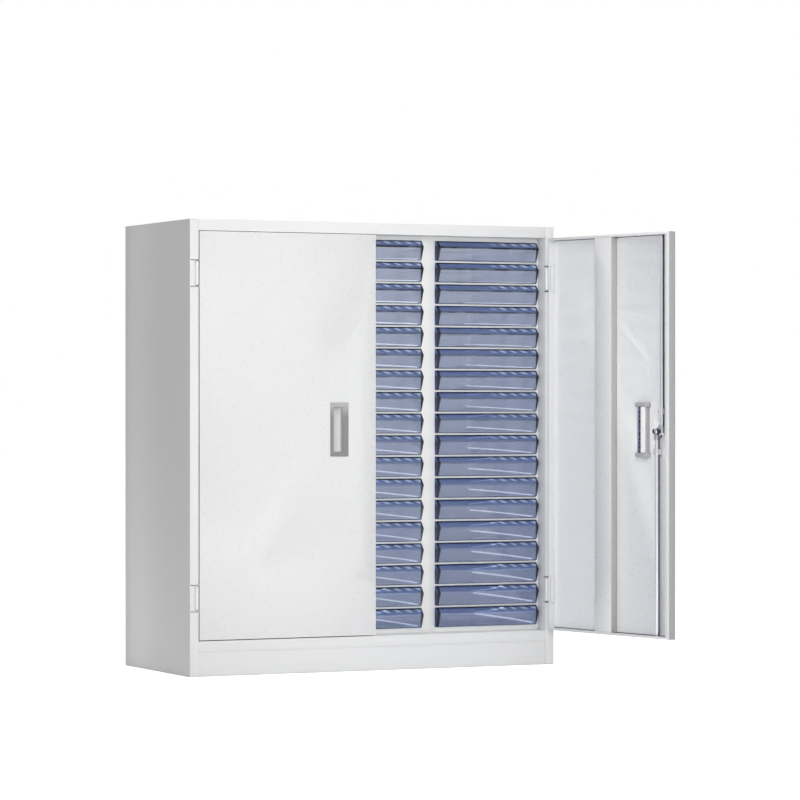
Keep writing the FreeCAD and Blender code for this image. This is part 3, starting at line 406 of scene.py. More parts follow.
class DrawerMarks:
    """Tints and lines of the clear plastic, mostly painted light and shade, laid out by where a point lies
    in its drawer.
    """

    def __init__(self, plastic: ClearPlastic, bench: NodeBench) -> None:
        """Find where a point lies in its drawer and which way it faces.

        Args:
            plastic: The finish that holds the marks' sizes and colours.
            bench: Where the nodes are laid out.
        """
        self.plastic, self.bench = plastic, bench
        parts = bench.add("ShaderNodeSeparateXYZ", {"Vector": bench.object_place()}).outputs
        rise = bench.sum(parts["Z"], -plastic.first_floor)
        along = bench.sum(parts["X"], plastic.column_pitch / 2)
        normal = bench.add("ShaderNodeTexCoord").outputs["Normal"]
        facing = bench.add("ShaderNodeSeparateXYZ", {"Vector": normal}).outputs
        self.across = bench.math("FLOORED_MODULO", along, plastic.column_pitch)
        self.depth = parts["Y"]
        self.height = bench.math("FLOORED_MODULO", rise, plastic.row_pitch)
        self.higher_rows_lit = bench.ramp(parts["Z"], *plastic.rows_part)
        self.leftward = bench.ramp(facing["X"], *plastic.left_part)
        self.frontward = bench.ramp(facing["Y"], *plastic.front_part)

    def tone(self) -> NodeSocket:
        """Return the plastic's tint, with its painted light and shade, before the painted shade lines are
        laid over it.
        """
        bench, plastic = self.bench, self.plastic
        # Painted light: higher rows are painted lighter.
        body = bench.tint(self.higher_rows_lit, plastic.low_colour, plastic.lit_high_colour)
        upright = bench.noise(bench.object_place((1, 0, 0)), plastic.streak_scale, 1)
        streaks = bench.product(bench.ramp(upright, *plastic.streak_part), plastic.streak_share)
        body = bench.overlay(streaks, body, shade(plastic.low_colour, plastic.streak_shade))
        # Painted shade: the upper slope of each front is painted a deeper blue.
        shaded_slope = bench.ramp(bench.lean(plastic.slope), *plastic.slope_part)
        tone = bench.overlay(shaded_slope, body, plastic.slope_shade_colour)
        tone = bench.overlay(bench.product(self.glints(), shaded_slope), tone, plastic.glint_colour)
        tone = bench.overlay(self.cheek(), tone, plastic.cheek_shade_colour)
        # Painted light and shade on the nose line: lighter in lower rows, dark in higher ones.
        nose_light_and_shade = bench.tint(self.higher_rows_lit, plastic.lit_low_nose_colour, plastic.shade_line_colour)
        return bench.overlay(self.nose(), tone, nose_light_and_shade)

    def glints(self) -> NodeSocket:
        """Return 1 on the painted glints, slanting light dashes on the right part of the upper slope, else
        0.
        """
        bench, plastic = self.bench, self.plastic
        slanted = bench.math("MULTIPLY_ADD", self.height, plastic.dash_slant, self.across)
        place = bench.add("ShaderNodeCombineXYZ", {"X": slanted}).outputs[0]
        swing = bench.noise(place, plastic.dash_scale, 1)
        uneven = bench.math("MULTIPLY_ADD", swing, plastic.dash_swing, slanted)
        beat = bench.math("FLOORED_MODULO", uneven, plastic.dash_pitch)
        painted_light_bands = bench.ramp(beat, *(part * plastic.dash_pitch for part in plastic.dash_part))
        share = bench.math("DIVIDE", self.across, plastic.column_pitch)
        right_part = bench.ramp(share, *plastic.dash_share)
        return bench.product(painted_light_bands, right_part, bench.ramp(self.height, *plastic.dash_rise))

    def cheek(self) -> NodeSocket:
        """Return 1 on the left cheek of a front, painted a deep blue shade, else 0."""
        bench, plane = self.bench, self.plastic.frame_plane
        middle, (aside, ahead) = self.plastic.column_pitch / 2, self.plastic.cheek_soft
        left_half = bench.ramp(self.across, middle, middle - aside)
        return bench.product(self.leftward, left_half, bench.ramp(self.depth, plane, plane - ahead))

    def nose(self) -> NodeSocket:
        """Return 1 on a front's broken nose line, less where faint, else 0: painted shade high, light low.
        """
        bench, plastic = self.bench, self.plastic
        (start, end), (faint, full) = plastic.nose_part, plastic.nose_strength
        uneven = bench.noise(bench.object_place((1, 0, 0.5)), plastic.nose_scale, 1)
        values = {"Value": uneven, "From Min": start, "From Max": end, "To Min": faint, "To Max": full}
        broken = bench.add("ShaderNodeMapRange", values).outputs[0]
        line = bench.near(self.height, plastic.nose_height, plastic.nose_line)
        return bench.product(line, broken, self.frontward)

    def front_lines(self) -> NodeSocket:
        """Return 1 on the painted shade lines along the edges and the left end of a front, else 0."""
        bench, plastic = self.bench, self.plastic
        edge, top = plastic.edge_line, plastic.front_height
        upper = bench.ramp(self.height, top - 2 * edge, top - edge)
        lower = bench.ramp(self.height, edge, edge / 2)
        soft_end = plastic.left_end + plastic.side_soft * plastic.side_line
        side = bench.ramp(self.across, soft_end, plastic.left_end + plastic.side_line)
        lines = bench.math("MAXIMUM", upper, bench.math("MAXIMUM", lower, side))
        return bench.product(lines, self.frontward)

    def right_end(self) -> NodeSocket:
        """Return the strength of the painted shade on a front's right end, which widens towards the nose."""
        bench, plastic = self.bench, self.plastic
        ahead = bench.sum(self.depth, -plastic.frame_plane)
        slanted = bench.math("MULTIPLY_ADD", ahead, -plastic.end_slant, self.across)
        limit, (before, beyond) = plastic.column_pitch - plastic.left_end, plastic.end_soft
        band = bench.ramp(slanted, limit - before, limit + beyond)
        return bench.product(band, self.frontward, plastic.end_strength)


@dataclass(frozen=True)
class Metal:
    """Plated or polished metal with fine drawn lines along Z."""

    name: str
    colour: Colour
    roughness: float
    metal_share: float = 1.0
    line_scale: float = 900.0
    line_strength: float = 0.3
    line_depth: float = 0.01 * MM
    line_swing: Span = (0.8, 1.25)
    stain_scale: float = 55.0
    stain_shade: float = 0.9
    dark_reflection_side: tuple[float, float, float] | None = None
    dark_reflection_part: Span = (0.3, 0.5)
    dark_reflection_colour: Colour = (0.08, 0.08, 0.085)

    def material(self) -> Material:
        """Return the finish as a new material."""
        made = bpy.data.materials.new(self.name)
        bench = NodeBench(made)
        lines = bench.noise(bench.object_place(DRAWN_ALONG_Z), self.line_scale)
        smooth, rough = (self.roughness * part for part in self.line_swing)
        values = {
            "Base Color": self.tone(bench),
            "Metallic": self.metal_share,
            "Roughness": bench.between(lines, smooth, rough),
            "Normal": bench.bump(lines, self.line_strength, self.line_depth),
        }
        bench.surface(bench.add("ShaderNodeBsdfPrincipled", values))
        return made

    def tone(self, bench: NodeBench) -> NodeSocket:
        """Return the metal's colour, with faint stains and a painted dark reflection on one side if it has
        one.

        Args:
            bench: Where the nodes are laid out.

        Returns:
            The colour to paint with.
        """
        stain = bench.noise(bench.object_place(), self.stain_scale, 3)
        tone = bench.tint(stain, shade(self.colour, self.stain_shade), self.colour)
        if self.dark_reflection_side:
            facing_dark = bench.ramp(bench.lean(self.dark_reflection_side), *self.dark_reflection_part)
            tone = bench.overlay(facing_dark, tone, self.dark_reflection_colour)
        return tone


@dataclass(frozen=True)
class RolledTrough(Metal):
    """Outside of a rolled trough, with painted reflections of its surroundings in upright bands.

    Each painted reflection band has the lean towards the side where it begins, half the width of
    its blend, and a colour.
    """

    metal_share: float = 0.15
    line_strength: float = 0.2
    side: tuple[float, float, float] = (0.182, -0.983, 0.0)
    drawer_reflection_colour: Colour = (0.07, 0.1, 0.26)
    painted_light_bands: tuple[tuple[float, float, Colour], ...] = (
        (-0.08, -0.06, (0.38, 0.383, 0.387)),
        (0.3, 0.05, (0.76, 0.76, 0.76)),
        (0.8, 0.05, (0.38, 0.383, 0.387)),
    )
    beat_scale: float = 110.0
    beat_part: Span = (0.47, 0.53)

    def tone(self, bench: NodeBench) -> NodeSocket:
        """Return the colour of the painted reflection bands.

        Args:
            bench: Where the nodes are laid out.

        Returns:
            The colour to paint with.
        """
        lean = bench.lean(self.side)
        beat = bench.noise(bench.object_place((0, 0, 1)), self.beat_scale, 1)
        tone = bench.tint(bench.ramp(beat, *self.beat_part), self.colour, self.drawer_reflection_colour)
        for start, soft, colour in self.painted_light_bands:
            tone = bench.overlay(bench.ramp(lean, start - soft, start + soft), tone, colour)
        return tone


@dataclass(frozen=True)
class MouldedPlastic:
    """Solid moulded plastic with a fine eroded grain, and a painted glow seen through the clear plastic."""

    name: str
    colour: Colour
    roughness: float = 0.3
    glow_lift: float = 0.0
    grain_scale: float = 1400.0
    grain_swing: float = 0.05
    grain_depth: float = 0.02 * MM
    tone_scale: float = 30.0
    tone_shade: float = 0.97

    def material(self) -> Material:
        """Return the finish as a new material."""
        made = bpy.data.materials.new(self.name)
        bench = NodeBench(made)
        place = bench.object_place()
        grain = bench.noise(place, self.grain_scale)
        tone = bench.noise(place, self.tone_scale)
        values = {
            "Base Color": bench.tint(tone, shade(self.colour, self.tone_shade), self.colour),
            "Roughness": bench.between(
                grain, self.roughness - self.grain_swing, self.roughness + self.grain_swing
            ),
            "Normal": bench.bump(grain, 0.25, self.grain_depth),
            # Painted glow for rays seen through the clear plastic.
            "Emission Color": (*self.colour, 1),
            "Emission Strength": bench.seen_through(self.glow_lift),
        }
        bench.surface(bench.add("ShaderNodeBsdfPrincipled", values))
        return made


Finish = PowderCoat | ClearPlastic | Metal | MouldedPlastic


def made_once(finish: Finish) -> Material:
    """Return a field that holds a finish as a material."""
    return field(default_factory=finish.material)


@dataclass
class Finishes:
    """Every finish of the cabinet, made once."""

    carcass: Material = made_once(PowderCoat(
        "carcass_powder_coat", (0.82, 0.824, 0.828), gloss=0.3, gloss_roughness=0.15
    ))
    # The frame glows faintly for rays seen through the drawers: painted light in the bays.
    inner_frame: Material = made_once(PowderCoat(
        "frame_powder_coat", (0.84, 0.84, 0.825), gloss=0.15, glow_lift=0.25
    ))
    door: Material = made_once(PowderCoat(
        "door_powder_coat", (0.78, 0.783, 0.786), roughness=0.3, gloss=1.0, gloss_roughness=0.02,
        gloss_bending=1.6, peel_depth=0.004 * MM,
    ))
    # A lighter copy of the door's coat for its inner skin: painted light.
    door_inside_lit: Material = made_once(PowderCoat(
        "door_inside_coat", (0.93, 0.933, 0.936), roughness=0.3, gloss=1.0, gloss_roughness=0.02,
        gloss_bending=1.8, peel_depth=0.002 * MM, lip_shadow_heights=(972.6 * MM, 85.2 * MM),
    ))
    # A darker copy of the door's coat for the free edge: painted shade.
    door_edge_shade: Material = made_once(PowderCoat("door_edge_coat", (0.43, 0.432, 0.435), gloss=0.2))
    drawer: Material = made_once(ClearPlastic("clear_blue_plastic"))
    # The ledges glow for rays seen through the drawers: painted light.
    ledge: Material = made_once(MouldedPlastic("milky_ledge_glow", (0.9, 0.87, 0.82), 0.35, glow_lift=1.35))
    # The pull's face has a painted highlight on its top band.
    pull_face: Material = made_once(PowderCoat(
        "pull_face_grey", (0.25, 0.252, 0.254), roughness=0.4, clouding=0.06, gloss=0.1,
        highlight_part=(0.568, 0.597),
    ))
    # A lighter coat for the trough's inside: painted reflection.
    pull_inside_lit: Material = made_once(PowderCoat("pull_inside_coat", (0.72, 0.725, 0.73), gloss=0.4))
    # The trough's back has painted reflection bands.
    pull_trough: Material = made_once(RolledTrough("pull_trough_painted_reflections", (0.012, 0.014, 0.04), 0.3))
    zinc: Material = made_once(Metal("bright_zinc", (0.74, 0.75, 0.77), 0.3))
    clamp: Material = made_once(PowderCoat("clamp_grey", (0.42, 0.422, 0.425), gloss=0.3))
    dull_zinc: Material = made_once(Metal("dull_zinc", (0.86, 0.86, 0.87), 0.55))
    # The rods carry a painted dark reflection on one side.
    rod: Material = made_once(Metal(
        "polished_rod", (0.66, 0.67, 0.7), 0.34, dark_reflection_side=(0.903, -0.43, 0.0)
    ))
    chrome: Material = made_once(Metal("lock_polish", (0.8, 0.8, 0.82), 0.12))
    black: Material = made_once(MouldedPlastic("black_cam", (0.02, 0.02, 0.025), 0.28))
    cover: Material = made_once(MouldedPlastic("white_hinge_cover", (0.9, 0.9, 0.9)))


def new_piece(name: str, mesh: Mesh) -> Object:
    """Put a mesh in the scene as a piece."""
    piece = bpy.data.objects.new(name, mesh)
    bpy.context.scene.collection.objects.link(piece)
    return piece


def settle(piece: Object) -> Object:
    """Turn a piece's modifiers into its mesh.

    Args:
        piece: An object with modifiers.

    Returns:
        The same object with a plain mesh and no modifiers.
    """
    bpy.context.view_layer.update()
    shaped = piece.evaluated_get(bpy.context.evaluated_depsgraph_get())
    mesh = bpy.data.meshes.new_from_object(shaped)
    mesh.name = piece.name
    piece.modifiers.clear()
    piece.data = mesh
    return piece


def shade_smooth(mesh: Mesh, sharp_angle: float = SHARP_ANGLE) -> None:
    """Shade a mesh smooth except over its sharp edges."""
    mesh.polygons.foreach_set("use_smooth", [True] * len(mesh.polygons))
    mesh.set_sharp_from_angle(angle=sharp_angle)


def mesh_from(work: bmesh.types.BMesh, name: str) -> Mesh:
    """Turn a worked mesh into a named one with outward faces.

    Args:
        work: The worked mesh, which is freed.
        name: The new mesh's name.

    Returns:
        The new mesh.
    """
    bmesh.ops.recalc_face_normals(work, faces=work.faces)
    mesh = bpy.data.meshes.new(name)
    work.to_mesh(mesh)
    work.free()
    return mesh


def hand_over(
    piece: Object, body: str, nodes: Iterable[str] = ()
) -> Object:
    """Tell the frame what a piece rides on and the nodes that it stands for.

    Args:
        piece: The finished piece, in place.
        body: The body that it moves with.
        nodes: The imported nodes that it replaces.

    Returns:
        The piece.
    """
    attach(piece, body)
    for node in nodes:
        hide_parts(node)
    LOG.info("%s on %s: %d faces", piece.name, body, len(piece.data.polygons))
    return piece


def merged_copy(node: str) -> Mesh:
    """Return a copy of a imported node's mesh with its doubles merged and flat faces joined.

    Args:
        node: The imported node.

    Returns:
        A new mesh.
    """
    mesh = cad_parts[node].data.copy()
    mesh.materials.clear()
    work = bmesh.new()
    work.from_mesh(mesh)
    bmesh.ops.remove_doubles(work, verts=work.verts, dist=MERGE_DISTANCE)
    bmesh.ops.dissolve_limit(
        work, angle_limit=FLAT_ANGLE, verts=work.verts, edges=work.edges, use_dissolve_boundaries=False
    )
    work.to_mesh(mesh)
    work.free()
    return mesh


def rounded_copy(node: str, radius: float, finish: Material) -> Object:
    """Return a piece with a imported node's shape and softly rounded edges.

    Args:
        node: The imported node.
        radius: Rounding of the edges.
        finish: The material.

    Returns:
        The new piece.
    """
    piece = new_piece(f"{node}_finished", merged_copy(node))
    bevel = piece.modifiers.new("rounding", "BEVEL")
    bevel.width = radius
    bevel.segments = 2
    bevel.limit_method = "ANGLE"
    bevel.angle_limit = SHARP_ANGLE
    bevel.use_clamp_overlap = True
    bevel.harden_normals = False
    settle(piece)
    shade_smooth(piece.data)
    piece.data.materials.append(finish)
    return piece


class RowTree:
    """Geometry nodes that set copies of a piece in a straight row."""

    COPIES = "Copies"
    STEP = "Step"
    FINISH = "Finish"

    def __init__(self, name: str) -> None:
        """Build the tree.

        Args:
            name: The tree's name.
        """
        self.tree = bpy.data.node_groups.new(name, "GeometryNodeTree")
        for socket, way, kind in (
            ("Geometry", "INPUT", "Geometry"),
            (self.COPIES, "INPUT", "Int"),
            (self.STEP, "INPUT", "Vector"),
            (self.FINISH, "INPUT", "Material"),
            ("Geometry", "OUTPUT", "Geometry"),
        ):
            self.tree.interface.new_socket(socket, in_out=way, socket_type=f"NodeSocket{kind}")
        new = self.tree.nodes.new
        given, line = new("NodeGroupInput"), new("GeometryNodeMeshLine")
        line.mode = "OFFSET"
        copies, solid = new("GeometryNodeInstanceOnPoints"), new("GeometryNodeRealizeInstances")
        finish, result = new("GeometryNodeSetMaterial"), new("NodeGroupOutput")
        for start, end in (
            (given.outputs[self.COPIES], line.inputs["Count"]),
            (given.outputs[self.STEP], line.inputs["Offset"]),
            (line.outputs["Mesh"], copies.inputs["Points"]),
            (given.outputs["Geometry"], copies.inputs["Instance"]),
            (copies.outputs["Instances"], solid.inputs["Geometry"]),
            (solid.outputs["Geometry"], finish.inputs["Geometry"]),
            (given.outputs[self.FINISH], finish.inputs["Material"]),
            (finish.outputs["Geometry"], result.inputs["Geometry"]),
        ):
            self.tree.links.new(start, end)

    def spread(
        self, piece: Object, copies: int, step: Sequence[float], finish: Material
    ) -> Object:
        """Turn a piece into a row of itself.

        Args:
            piece: The first of the row, in place.
            copies: How many the row holds.
            step: From one to the next.
            finish: The material of them all.

        Returns:
            The same object, holding the whole row as a plain mesh.
        """
        modifier = piece.modifiers.new("row", "NODES")
        modifier.node_group = self.tree
        names = {
            item.name: item.identifier
            for item in self.tree.interface.items_tree
            if item.in_out == "INPUT"
        }
        modifier[names[self.COPIES]] = copies
        modifier[names[self.STEP]] = tuple(step)
        modifier[names[self.FINISH]] = finish
        return settle(piece)


def drawn_along_x(profile: Sequence[Point], low_x: float, high_x: float, name: str) -> Mesh:
    """Return a closed solid with a profile in Y and Z drawn out along X.

    Args:
        profile: Corners of the outline as Y and Z, in order.
        low_x: Where it starts.
        high_x: Where it ends.
        name: The mesh's name.

    Returns:
        A new mesh with outward faces.
    """
    work = bmesh.new()
    near = [work.verts.new((low_x, y, z)) for y, z in profile]
    far = [work.verts.new((high_x, y, z)) for y, z in profile]
    work.faces.new(near)
    work.faces.new(far[::-1])
    for i in range(len(profile)):
        j = (i + 1) % len(profile)
        work.faces.new((near[j], near[i], far[i], far[j]))
    return mesh_from(work, name)


@dataclass
class Carcass:
    """Outer casing of folded sheet: sides, top, floor, back and plinth."""

    finishes: Finishes
    edge_radius: float = 0.35 * MM
    nodes: tuple[str, ...] = (
        "left_side_panel", "right_side_panel", "top_panel", "floor_panel", "back_panel", "plinth",
    )

    def build(self) -> None:
        """Build every panel of the casing."""
        for node in self.nodes:
            piece = rounded_copy(node, self.edge_radius, self.finishes.carcass)
            hand_over(piece, "cabinet", [node])


@dataclass
class DrawerFrame:
    """Inner frame: partitions, liners, strips and the thin shelves under the drawers."""

    finishes: Finishes
    row: RowTree
    edge_radius: float = 0.3 * MM
    sheet: float = 1.0 * MM
    lip: float = 3.8 * MM
    rows: int = 18
    walls: tuple[str, ...] = (
        "left_partition", "right_partition", "left_liner", "right_liner", "head_strips", "sill_strips",
    )

    def build(self) -> None:
        """Build the frame's walls and its shelves."""
        for node in self.walls:
            piece = rounded_copy(node, self.edge_radius, self.finishes.inner_frame)
            hand_over(piece, "cabinet", [node])
        for column in Column:
            self.build_shelves(column)

    def build_shelves(self, column: Column) -> None:
        """Build one column of shelves, each a thin sheet with its front folded down.

        Args:
            column: Which column.
        """
        node = f"{column.value}_shelves"
        low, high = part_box(node)
        pitch = (high.z - low.z - self.lip) / (self.rows - 1)
        top = low.z + self.lip
        profile = [
            (low.y, low.z), (low.y, top), (high.y, top), (high.y, top - self.sheet),
            (low.y + self.sheet, top - self.sheet), (low.y + self.sheet, low.z),
        ]
        piece = new_piece(f"{node}_finished", drawn_along_x(profile, low.x, high.x, node))
        bevel = piece.modifiers.new("bend", "BEVEL")
        bevel.width = self.edge_radius
        bevel.segments = 2
        settle(piece)
        shade_smooth(piece.data)
        self.row.spread(piece, self.rows, (0, 0, pitch), self.finishes.inner_frame)
        hand_over(piece, "cabinet", [node])


@dataclass
class Drawers:
    """Clear trays with a folded-out nose: two fixed columns, and one of sliding drawers."""

    finishes: Finishes
    row: RowTree
    rows: int = 18
    wall: float = 1.6 * MM
    front_wall: float = 2.0 * MM
    edge_reach: float = 5.0 * MM
    nose_reach: float = 18.0 * MM
    nose_height: float = 30.0 * MM
    tray_height: float = 38.0 * MM
    cheek_step: float = 3.0 * MM
    corner_radius: float = 2.4 * MM
    inner_radius: float = 1.2 * MM
    nose_radius: float = 0.9 * MM
    rim_radius: float = 0.35 * MM
    sharp_angle: float = math.radians(50.0)
    ledge_reach: Span = (45.0 * MM, 10.0 * MM)
    ledge_wall_depth: Span = (12.0 * MM, 60.0 * MM)
    ledge_far_depth: Span = (270.0 * MM, 292.0 * MM)
    ledge_rise: Span = (1.7 * MM, 3.6 * MM)
    ledge_height: Span = (3.0 * MM, 4.2 * MM)
    ledge_growth: Span = (0.2, 1.0)
    ledge_middle_share: float = 0.6

    def build(self) -> None:
        """Build the three columns."""
        for column in (Column.LEFT, Column.MIDDLE):
            self.build_column(column)
        for number in range(1, self.rows + 1):
            node = f"right_drawer_{number:02d}"
            low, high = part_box(node)
            piece = self.tray(f"{node}_finished", low, high)
            self.row.spread(piece, 1, (0, 0, 0), self.finishes.drawer)
            hand_over(piece, node, [node])
            share = (number - 1) / (self.rows - 1)
            hand_over(self.ledges(f"{node}_ledges", low, high, share), node)

    def build_column(self, column: Column) -> None:
        """Build a whole column as one piece.

        Args:
            column: Which column.
        """
        node = f"{column.value}_drawers"
        low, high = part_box(node)
        model_low, model_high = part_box("right_drawer_18")
        height = model_high.z - model_low.z
        pitch = (high.z - low.z - height) / (self.rows - 1)
        piece = self.tray(f"{node}_finished", low, Vector((high.x, high.y, low.z + height)))
        self.row.spread(piece, self.rows, (0, 0, pitch), self.finishes.drawer)
        hand_over(piece, "cabinet", [node])
        pair = self.ledges(f"{node}_ledges", low, high, self.ledge_middle_share)
        self.row.spread(pair, self.rows, (0, 0, pitch), self.finishes.ledge)
        hand_over(pair, "cabinet")

    def ledges(self, name: str, low: Vector, high: Vector, share: float) -> Object:
        """Build the two slanting ledges that rise from a tray's walls towards its rear.

        Args:
            name: The piece's name.
            low: Lowest corner of the tray's box.
            high: Highest corner of the tray's box.
            share: How far down its column the tray is: lower ones have thicker ledges.

        Returns:
            Both ledges as one piece.
        """
        plane = low.y + self.nose_reach
        growth, reach = (
            first + share * (last - first) for first, last in (self.ledge_growth, self.ledge_reach)
        )
        work = bmesh.new()
        for wall, inward in ((low.x + self.wall, 1), (high.x - self.wall, -1)):
            places = (wall, wall + inward * reach)
            depths = (self.ledge_wall_depth, self.ledge_far_depth)
            rings = []
            for x, depth, rise, thickness in zip(places, depths, self.ledge_rise, self.ledge_height):
                near, far = (plane + part for part in depth)
                under, over = low.z + rise, low.z + rise + growth * thickness
                corners = ((near, under), (far, under), (far, over), (near, over))
                rings.append([work.verts.new((x, y, z)) for y, z in corners])
            first, second = rings
            work.faces.new(first)
            work.faces.new(second[::-1])
            for i in range(4):
                j = (i + 1) % 4
                work.faces.new((first[j], first[i], second[i], second[j]))
        mesh = mesh_from(work, name)
        mesh.materials.append(self.finishes.ledge)
        return new_piece(name, mesh)

    def tray(self, name: str, low: Vector, high: Vector) -> Object:
        """Build one tray with rounded corners.

        Args:
            name: The piece's name.
            low: Lowest corner of the tray's box.
            high: Highest corner of the tray's box.

        Returns:
            The tray as a piece with no material yet.
        """
        plane = low.y + self.nose_reach
        edge, step = plane - self.edge_reach, plane + self.cheek_step
        rim = low.z + self.tray_height
        nose = low.z + self.nose_height
        outer = [
            (edge, low.z), (high.y, low.z), (high.y, rim), (step, rim), (step, high.z),
            (edge, high.z), (low.y, nose),
        ]
        rear = high.y - self.wall
        inner = [
            (edge + self.front_wall, low.z + self.wall), (rear, low.z + self.wall), (rear, rim),
            (step, rim), (step, high.z), (edge + self.front_wall, high.z),
            (low.y + self.front_wall, nose),
        ]
        work = bmesh.new()
        weights = work.edges.layers.float.new("bevel_weight_edge")
        rings = {}
        for key, points, inset in (("outer", outer, 0.0), ("inner", inner, self.wall)):
            rings[key] = [
                [work.verts.new((x, y, z)) for y, z in points]
                for x in (low.x + inset, high.x - inset)
            ]
        for left, right in rings.values():
            work.faces.new(left)
            work.faces.new(right)
            for i, j in ((0, 1), (1, 2), (5, 6), (6, 0)):
                work.faces.new((left[i], left[j], right[j], right[i]))
        for out_ring, in_ring in zip(rings["outer"], rings["inner"]):
            for i, j in ((2, 3), (3, 4), (4, 5)):
                work.faces.new((out_ring[i], out_ring[j], in_ring[j], in_ring[i]))
        (out_left, out_right), (in_left, in_right) = rings["outer"], rings["inner"]
        for i in (2, 5):
            work.faces.new((out_left[i], out_right[i], in_right[i], in_left[i]))
        self.weigh(work, weights, rings)
        piece = new_piece(name, mesh_from(work, name))
        bevel = piece.modifiers.new("rounding", "BEVEL")
        bevel.limit_method = "WEIGHT"
        bevel.width = self.corner_radius
        bevel.segments = 3
        settle(piece)
        shade_smooth(piece.data, self.sharp_angle)
        return piece

    def weigh(self, work: bmesh.types.BMesh, weights: object, rings: Mapping) -> None:
        """Give each edge of a tray its share of the largest rounding.

        Args:
            work: The tray's mesh.
            weights: The layer that holds each edge's share.
            rings: Corner points of the outer and inner sides.
        """
        for work_edge in work.edges:
            work_edge[weights] = self.rim_radius / self.corner_radius
        for key, radius in (("outer", self.corner_radius), ("inner", self.inner_radius)):
            left, right = rings[key]
            pairs = [(ring[i], ring[j]) for ring in (left, right) for i, j in ((0, 1), (1, 2))]
            pairs.append((left[1], right[1]))
            for first, second in pairs:
                work.edges.get((first, second))[weights] = radius / self.corner_radius
            nose = work.edges.get((left[6], right[6]))
            nose[weights] = self.nose_radius / self.corner_radius


@dataclass
class Doors:
    """The two folded doors with their stiffener channels."""

    finishes: Finishes
    edge_radius: float = 0.4 * MM
    edge_turn: float = math.radians(6.0)
    edge_depth: float = 0.2 * MM
    skin_depth: float = 4.0 * MM
    inward_limit: float = -0.98
    edge_shade_coat: int = 1
    lit_inside_coat: int = 2

    def build(self) -> None:
        """Build both doors."""
        for side in Side:
            for part in ("panel", "stiffener"):
                node = f"{side.word}_door_{part}"
                piece = rounded_copy(node, self.edge_radius, self.finishes.door)
                piece.data.materials.append(self.finishes.door_edge_shade)
                piece.data.materials.append(self.finishes.door_inside_lit)
                if side is Side.RIGHT:
                    self.shade_free_edges(piece, side)
                if part == "panel":
                    self.line_inside(piece, side)
                hand_over(piece, side.door, [node])

    def line_inside(self, piece: Object, side: Side) -> None:
        """Give the inner side of a door's skin its own lighter coat, as painted light, with the lips'
        painted shadow lines.

        Args:
            piece: A door's panel.
            side: Which door it is.
        """
        outward = side.door_outward
        front = max(vertex.co.dot(outward) for vertex in piece.data.vertices)
        for polygon in piece.data.polygons:
            near_skin = front - polygon.center.dot(outward) < self.skin_depth
            if near_skin and polygon.normal.dot(outward) < self.inward_limit:
                polygon.material_index = self.lit_inside_coat

    def shade_free_edges(self, piece: Object, side: Side) -> None:
        """Give the outermost faces on the door's free side a darker coat, as painted shade.

        Args:
            piece: A part of the door.
            side: Which door it is.
        """
        outward = side.door_outward
        towards_free = Vector((outward.y, -outward.x, 0.0))
        limit = math.cos(self.edge_turn)
        end = max(vertex.co.dot(towards_free) for vertex in piece.data.vertices) - self.edge_depth
        for polygon in piece.data.polygons:
            if polygon.normal.dot(towards_free) > limit and polygon.center.dot(towards_free) > end:
                polygon.material_index = self.edge_shade_coat


@dataclass
class Pulls:
    """Flush pulls and the bars that clamp them inside the doors."""

    finishes: Finishes
    edge_radius: float = 0.5 * MM
    face_depth: float = 1.6 * MM
    window_half: float = 49.8 * MM
    upright_limit: float = 0.9
    lit_inside_coat: int = 1
    trough_reflections: int = 2

    def build(self) -> None:
        """Build both pulls with their clamps."""
        for side in Side:
            node = f"{side.word}_pull"
            piece = rounded_copy(node, self.edge_radius, self.finishes.pull_face)
            self.line_trough(piece, side)
            hand_over(piece, side.door, [node])
            node = f"{side.word}_pull_clamps"
            piece = rounded_copy(node, self.edge_radius, self.finishes.clamp)
            hand_over(piece, side.door, [node])

    def line_trough(self, piece: Object, side: Side) -> None:
        """Give the inside of the trough a lighter coat, as painted reflection, and its back painted
        reflection bands.

        Args:
            piece: The pull.
            side: Which door it is in.
        """
        piece.data.materials.append(self.finishes.pull_inside_lit)
        piece.data.materials.append(self.finishes.pull_trough)
        outward = side.door_outward
        front = max(vertex.co.dot(outward) for vertex in piece.data.vertices)
        heights = [vertex.co.z for vertex in piece.data.vertices]
        middle = (min(heights) + max(heights)) / 2
        for polygon in piece.data.polygons:
            if front - polygon.center.dot(outward) > self.face_depth:
                end_wall = abs(polygon.normal.z) > self.upright_limit
                within = abs(polygon.center.z - middle) < self.window_half
                inside = within if end_wall else polygon.normal.dot(outward) > 0.0
                polygon.material_index = self.lit_inside_coat if inside else self.trough_reflections


@dataclass
class Hinges:
    """Hinge covers, pins, brackets and leaves."""

    finishes: Finishes
    edge_radius: float = 0.3 * MM

    def build(self) -> None:
        """Build every piece of the four hinges."""
        cover = rounded_copy("hinge_covers", self.edge_radius, self.finishes.cover)
        hand_over(cover, "cabinet", ["hinge_covers"])
        for node in ("hinge_pins", "hinge_brackets"):
            piece = rounded_copy(node, self.edge_radius, self.finishes.zinc)
            hand_over(piece, "cabinet", [node])
        for side in Side:
            node = f"{side.word}_hinge_leaves"
            piece = rounded_copy(node, self.edge_radius, self.finishes.door)
            hand_over(piece, side.door, [node])


